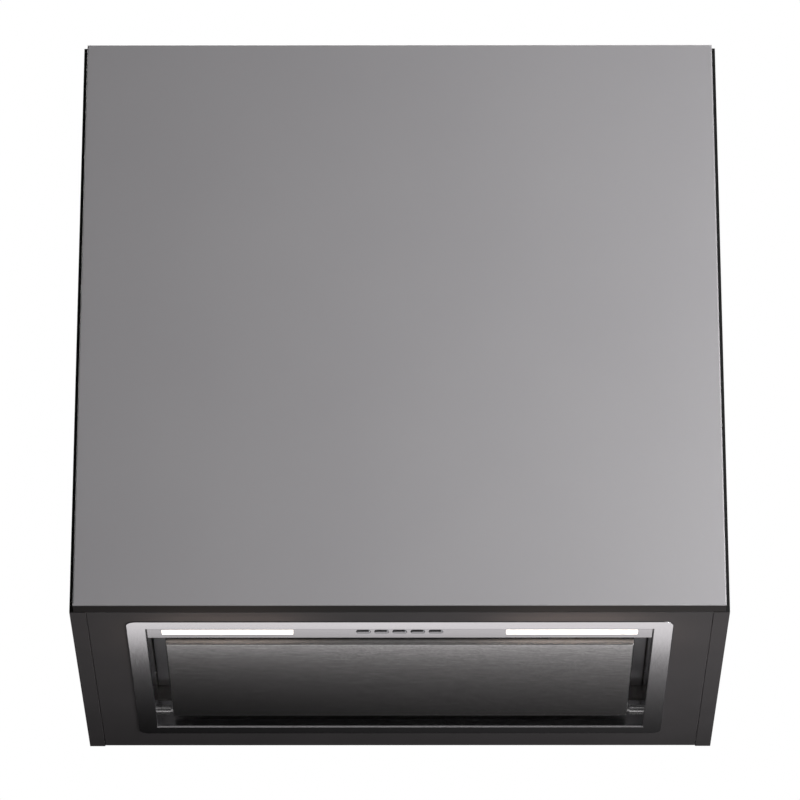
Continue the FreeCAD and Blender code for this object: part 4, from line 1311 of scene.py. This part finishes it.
@dataclass(frozen=True)
class TiltedCamera:
    """A plain camera on the photograph's line of sight to the underside, tilted up at the hood."""

    place: Point = (0.0071, -4.669, -1.789)
    aim: Point = (-0.0015, 1.0, 0.4444)
    lens: float = 240.0
    reach: float = 100.0

    def build(self) -> None:
        """Make the scene's camera."""
        scene = bpy.context.scene
        data = bpy.data.cameras.new("camera")
        data.lens = self.lens
        data.clip_end = self.reach
        camera = bpy.data.objects.new("camera", data)
        camera.location = self.place
        camera.rotation_euler = Vector(self.aim).to_track_quat("-Z", "Y").to_euler()
        scene.collection.objects.link(camera)
        scene.camera = camera
        scene.view_settings.view_transform = "Standard"


def finishes() -> dict[str, Finish]:
    """A finish for each material slot of the record.

    Returns:
        Finishes by slot.
    """
    low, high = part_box("trim_frame")
    flange = 18 * MM
    frame_steel = BrushedSteel(
        "brushed_steel", Brush.ROUND_THE_FRAME, grain=(60, 760), short=0.5,
        middle_y=(low.y + high.y) / 2,
        half_x=(high.x - low.x) / 2 - flange, half_y=(high.y - low.y) / 2 - flange)
    return {
        "housing_board": Laminate(),
        "front_lacquer": Lacquer(),
        "brushed_steel": frame_steel,
        "galvanised_steel": Galvanised(),
        "bright_steel": Metal("bright_zinc", (0.66, 0.66, 0.66), (0.54, 0.54, 0.54), 0.20, 0.32),
        "light_lens": OpalLight(),
        "circuit_board": CircuitBoard(),
        "black_plastic": Plastic("black_plastic", (0.022, 0.022, 0.023), (0.034, 0.034, 0.035)),
        "grey_plastic": Plastic("grey_plastic", (0.46, 0.47, 0.48), (0.52, 0.53, 0.54)),
        "key_plastic": Metal("silver_key", (0.27, 0.27, 0.28), (0.24, 0.24, 0.25), 0.18, 0.26),
        "magnet": Metal("ferrite", (0.10, 0.10, 0.10), (0.06, 0.06, 0.06), 0.5, 0.65),
        "filter_aluminium": Metal(
            "filter_aluminium", (0.52, 0.52, 0.53), (0.40, 0.40, 0.41), 0.30, 0.45),
        "motor_paint": Plastic(
            "motor_paint", (0.05, 0.05, 0.055), (0.07, 0.07, 0.075), 0.35, 0.45, 0.02 * MM),
        "motor_core": Laminations(),
    }


def own_finishes() -> dict[str, Finish]:
    """Finishes of single nodes, such as the strip and panel, which are brushed along their length.

    Returns:
        Finishes by node.
    """
    return {
        # the bottom board's front edge is a little paler than the board: a painted highlight along that
        # edge, in place of the black painted shade
        "housing_bottom": Laminate("bottom_laminate_painted_edge_highlight", painted_shade_and_highlight_band=(0.075, 0.073, 0.075)),
        "control_strip": BrushedSteel(
            "strip_steel", Brush.LENGTHWAYS, (0.44, 0.435, 0.445), (0.38, 0.375, 0.385)),
        "suction_panel": BrushedSteel(
            "panel_steel", Brush.LENGTHWAYS, (0.62, 0.615, 0.61), (0.34, 0.335, 0.335),
            smooth=0.15, coarse=0.18, grain=(60, 760), short=0.55, dull_fold=0.6),
        "filter_mesh": Metal("mesh_aluminium", (0.90, 0.90, 0.91), (0.76, 0.76, 0.77), 0.28, 0.42),
    }


def eased_edges() -> EasedEdges:
    """The rounds of boards, sheets and blocks.

    Returns:
        The edges to ease, by node.
    """
    board, sheet, block = 0.4 * MM, 0.15 * MM, 0.5 * MM
    return EasedEdges({
        "housing_left_side": board, "housing_right_side": board, "housing_bottom": board,
        "housing_top": board, "upper_wall_rail": board, "lower_wall_rail": board,
        "retaining_clips": sheet, "flap_hinge_arms": sheet,
        "control_box": block, "control_box_cover": block,
        "filter_frame": block, "filter_latch": block, "cable_gland": block,
    })


def main() -> None:
    """Dress the solids, add the new pieces and set the stage."""
    logging.basicConfig(level=logging.INFO, format="%(message)s")
    for leftover in list(bpy.data.objects):
        bpy.data.objects.remove(leftover)
    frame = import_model()
    TiltedCamera().build()
    dresser = Dresser(frame, finishes(), own_finishes())
    dresser.dress_nodes()
    eased_edges().build(dresser)
    Fasteners().build(dresser)
    HingeBlocks().build(dresser)
    FilterMesh().build(dresser)
    Studio().build()


if __name__ == "__main__":
    main()
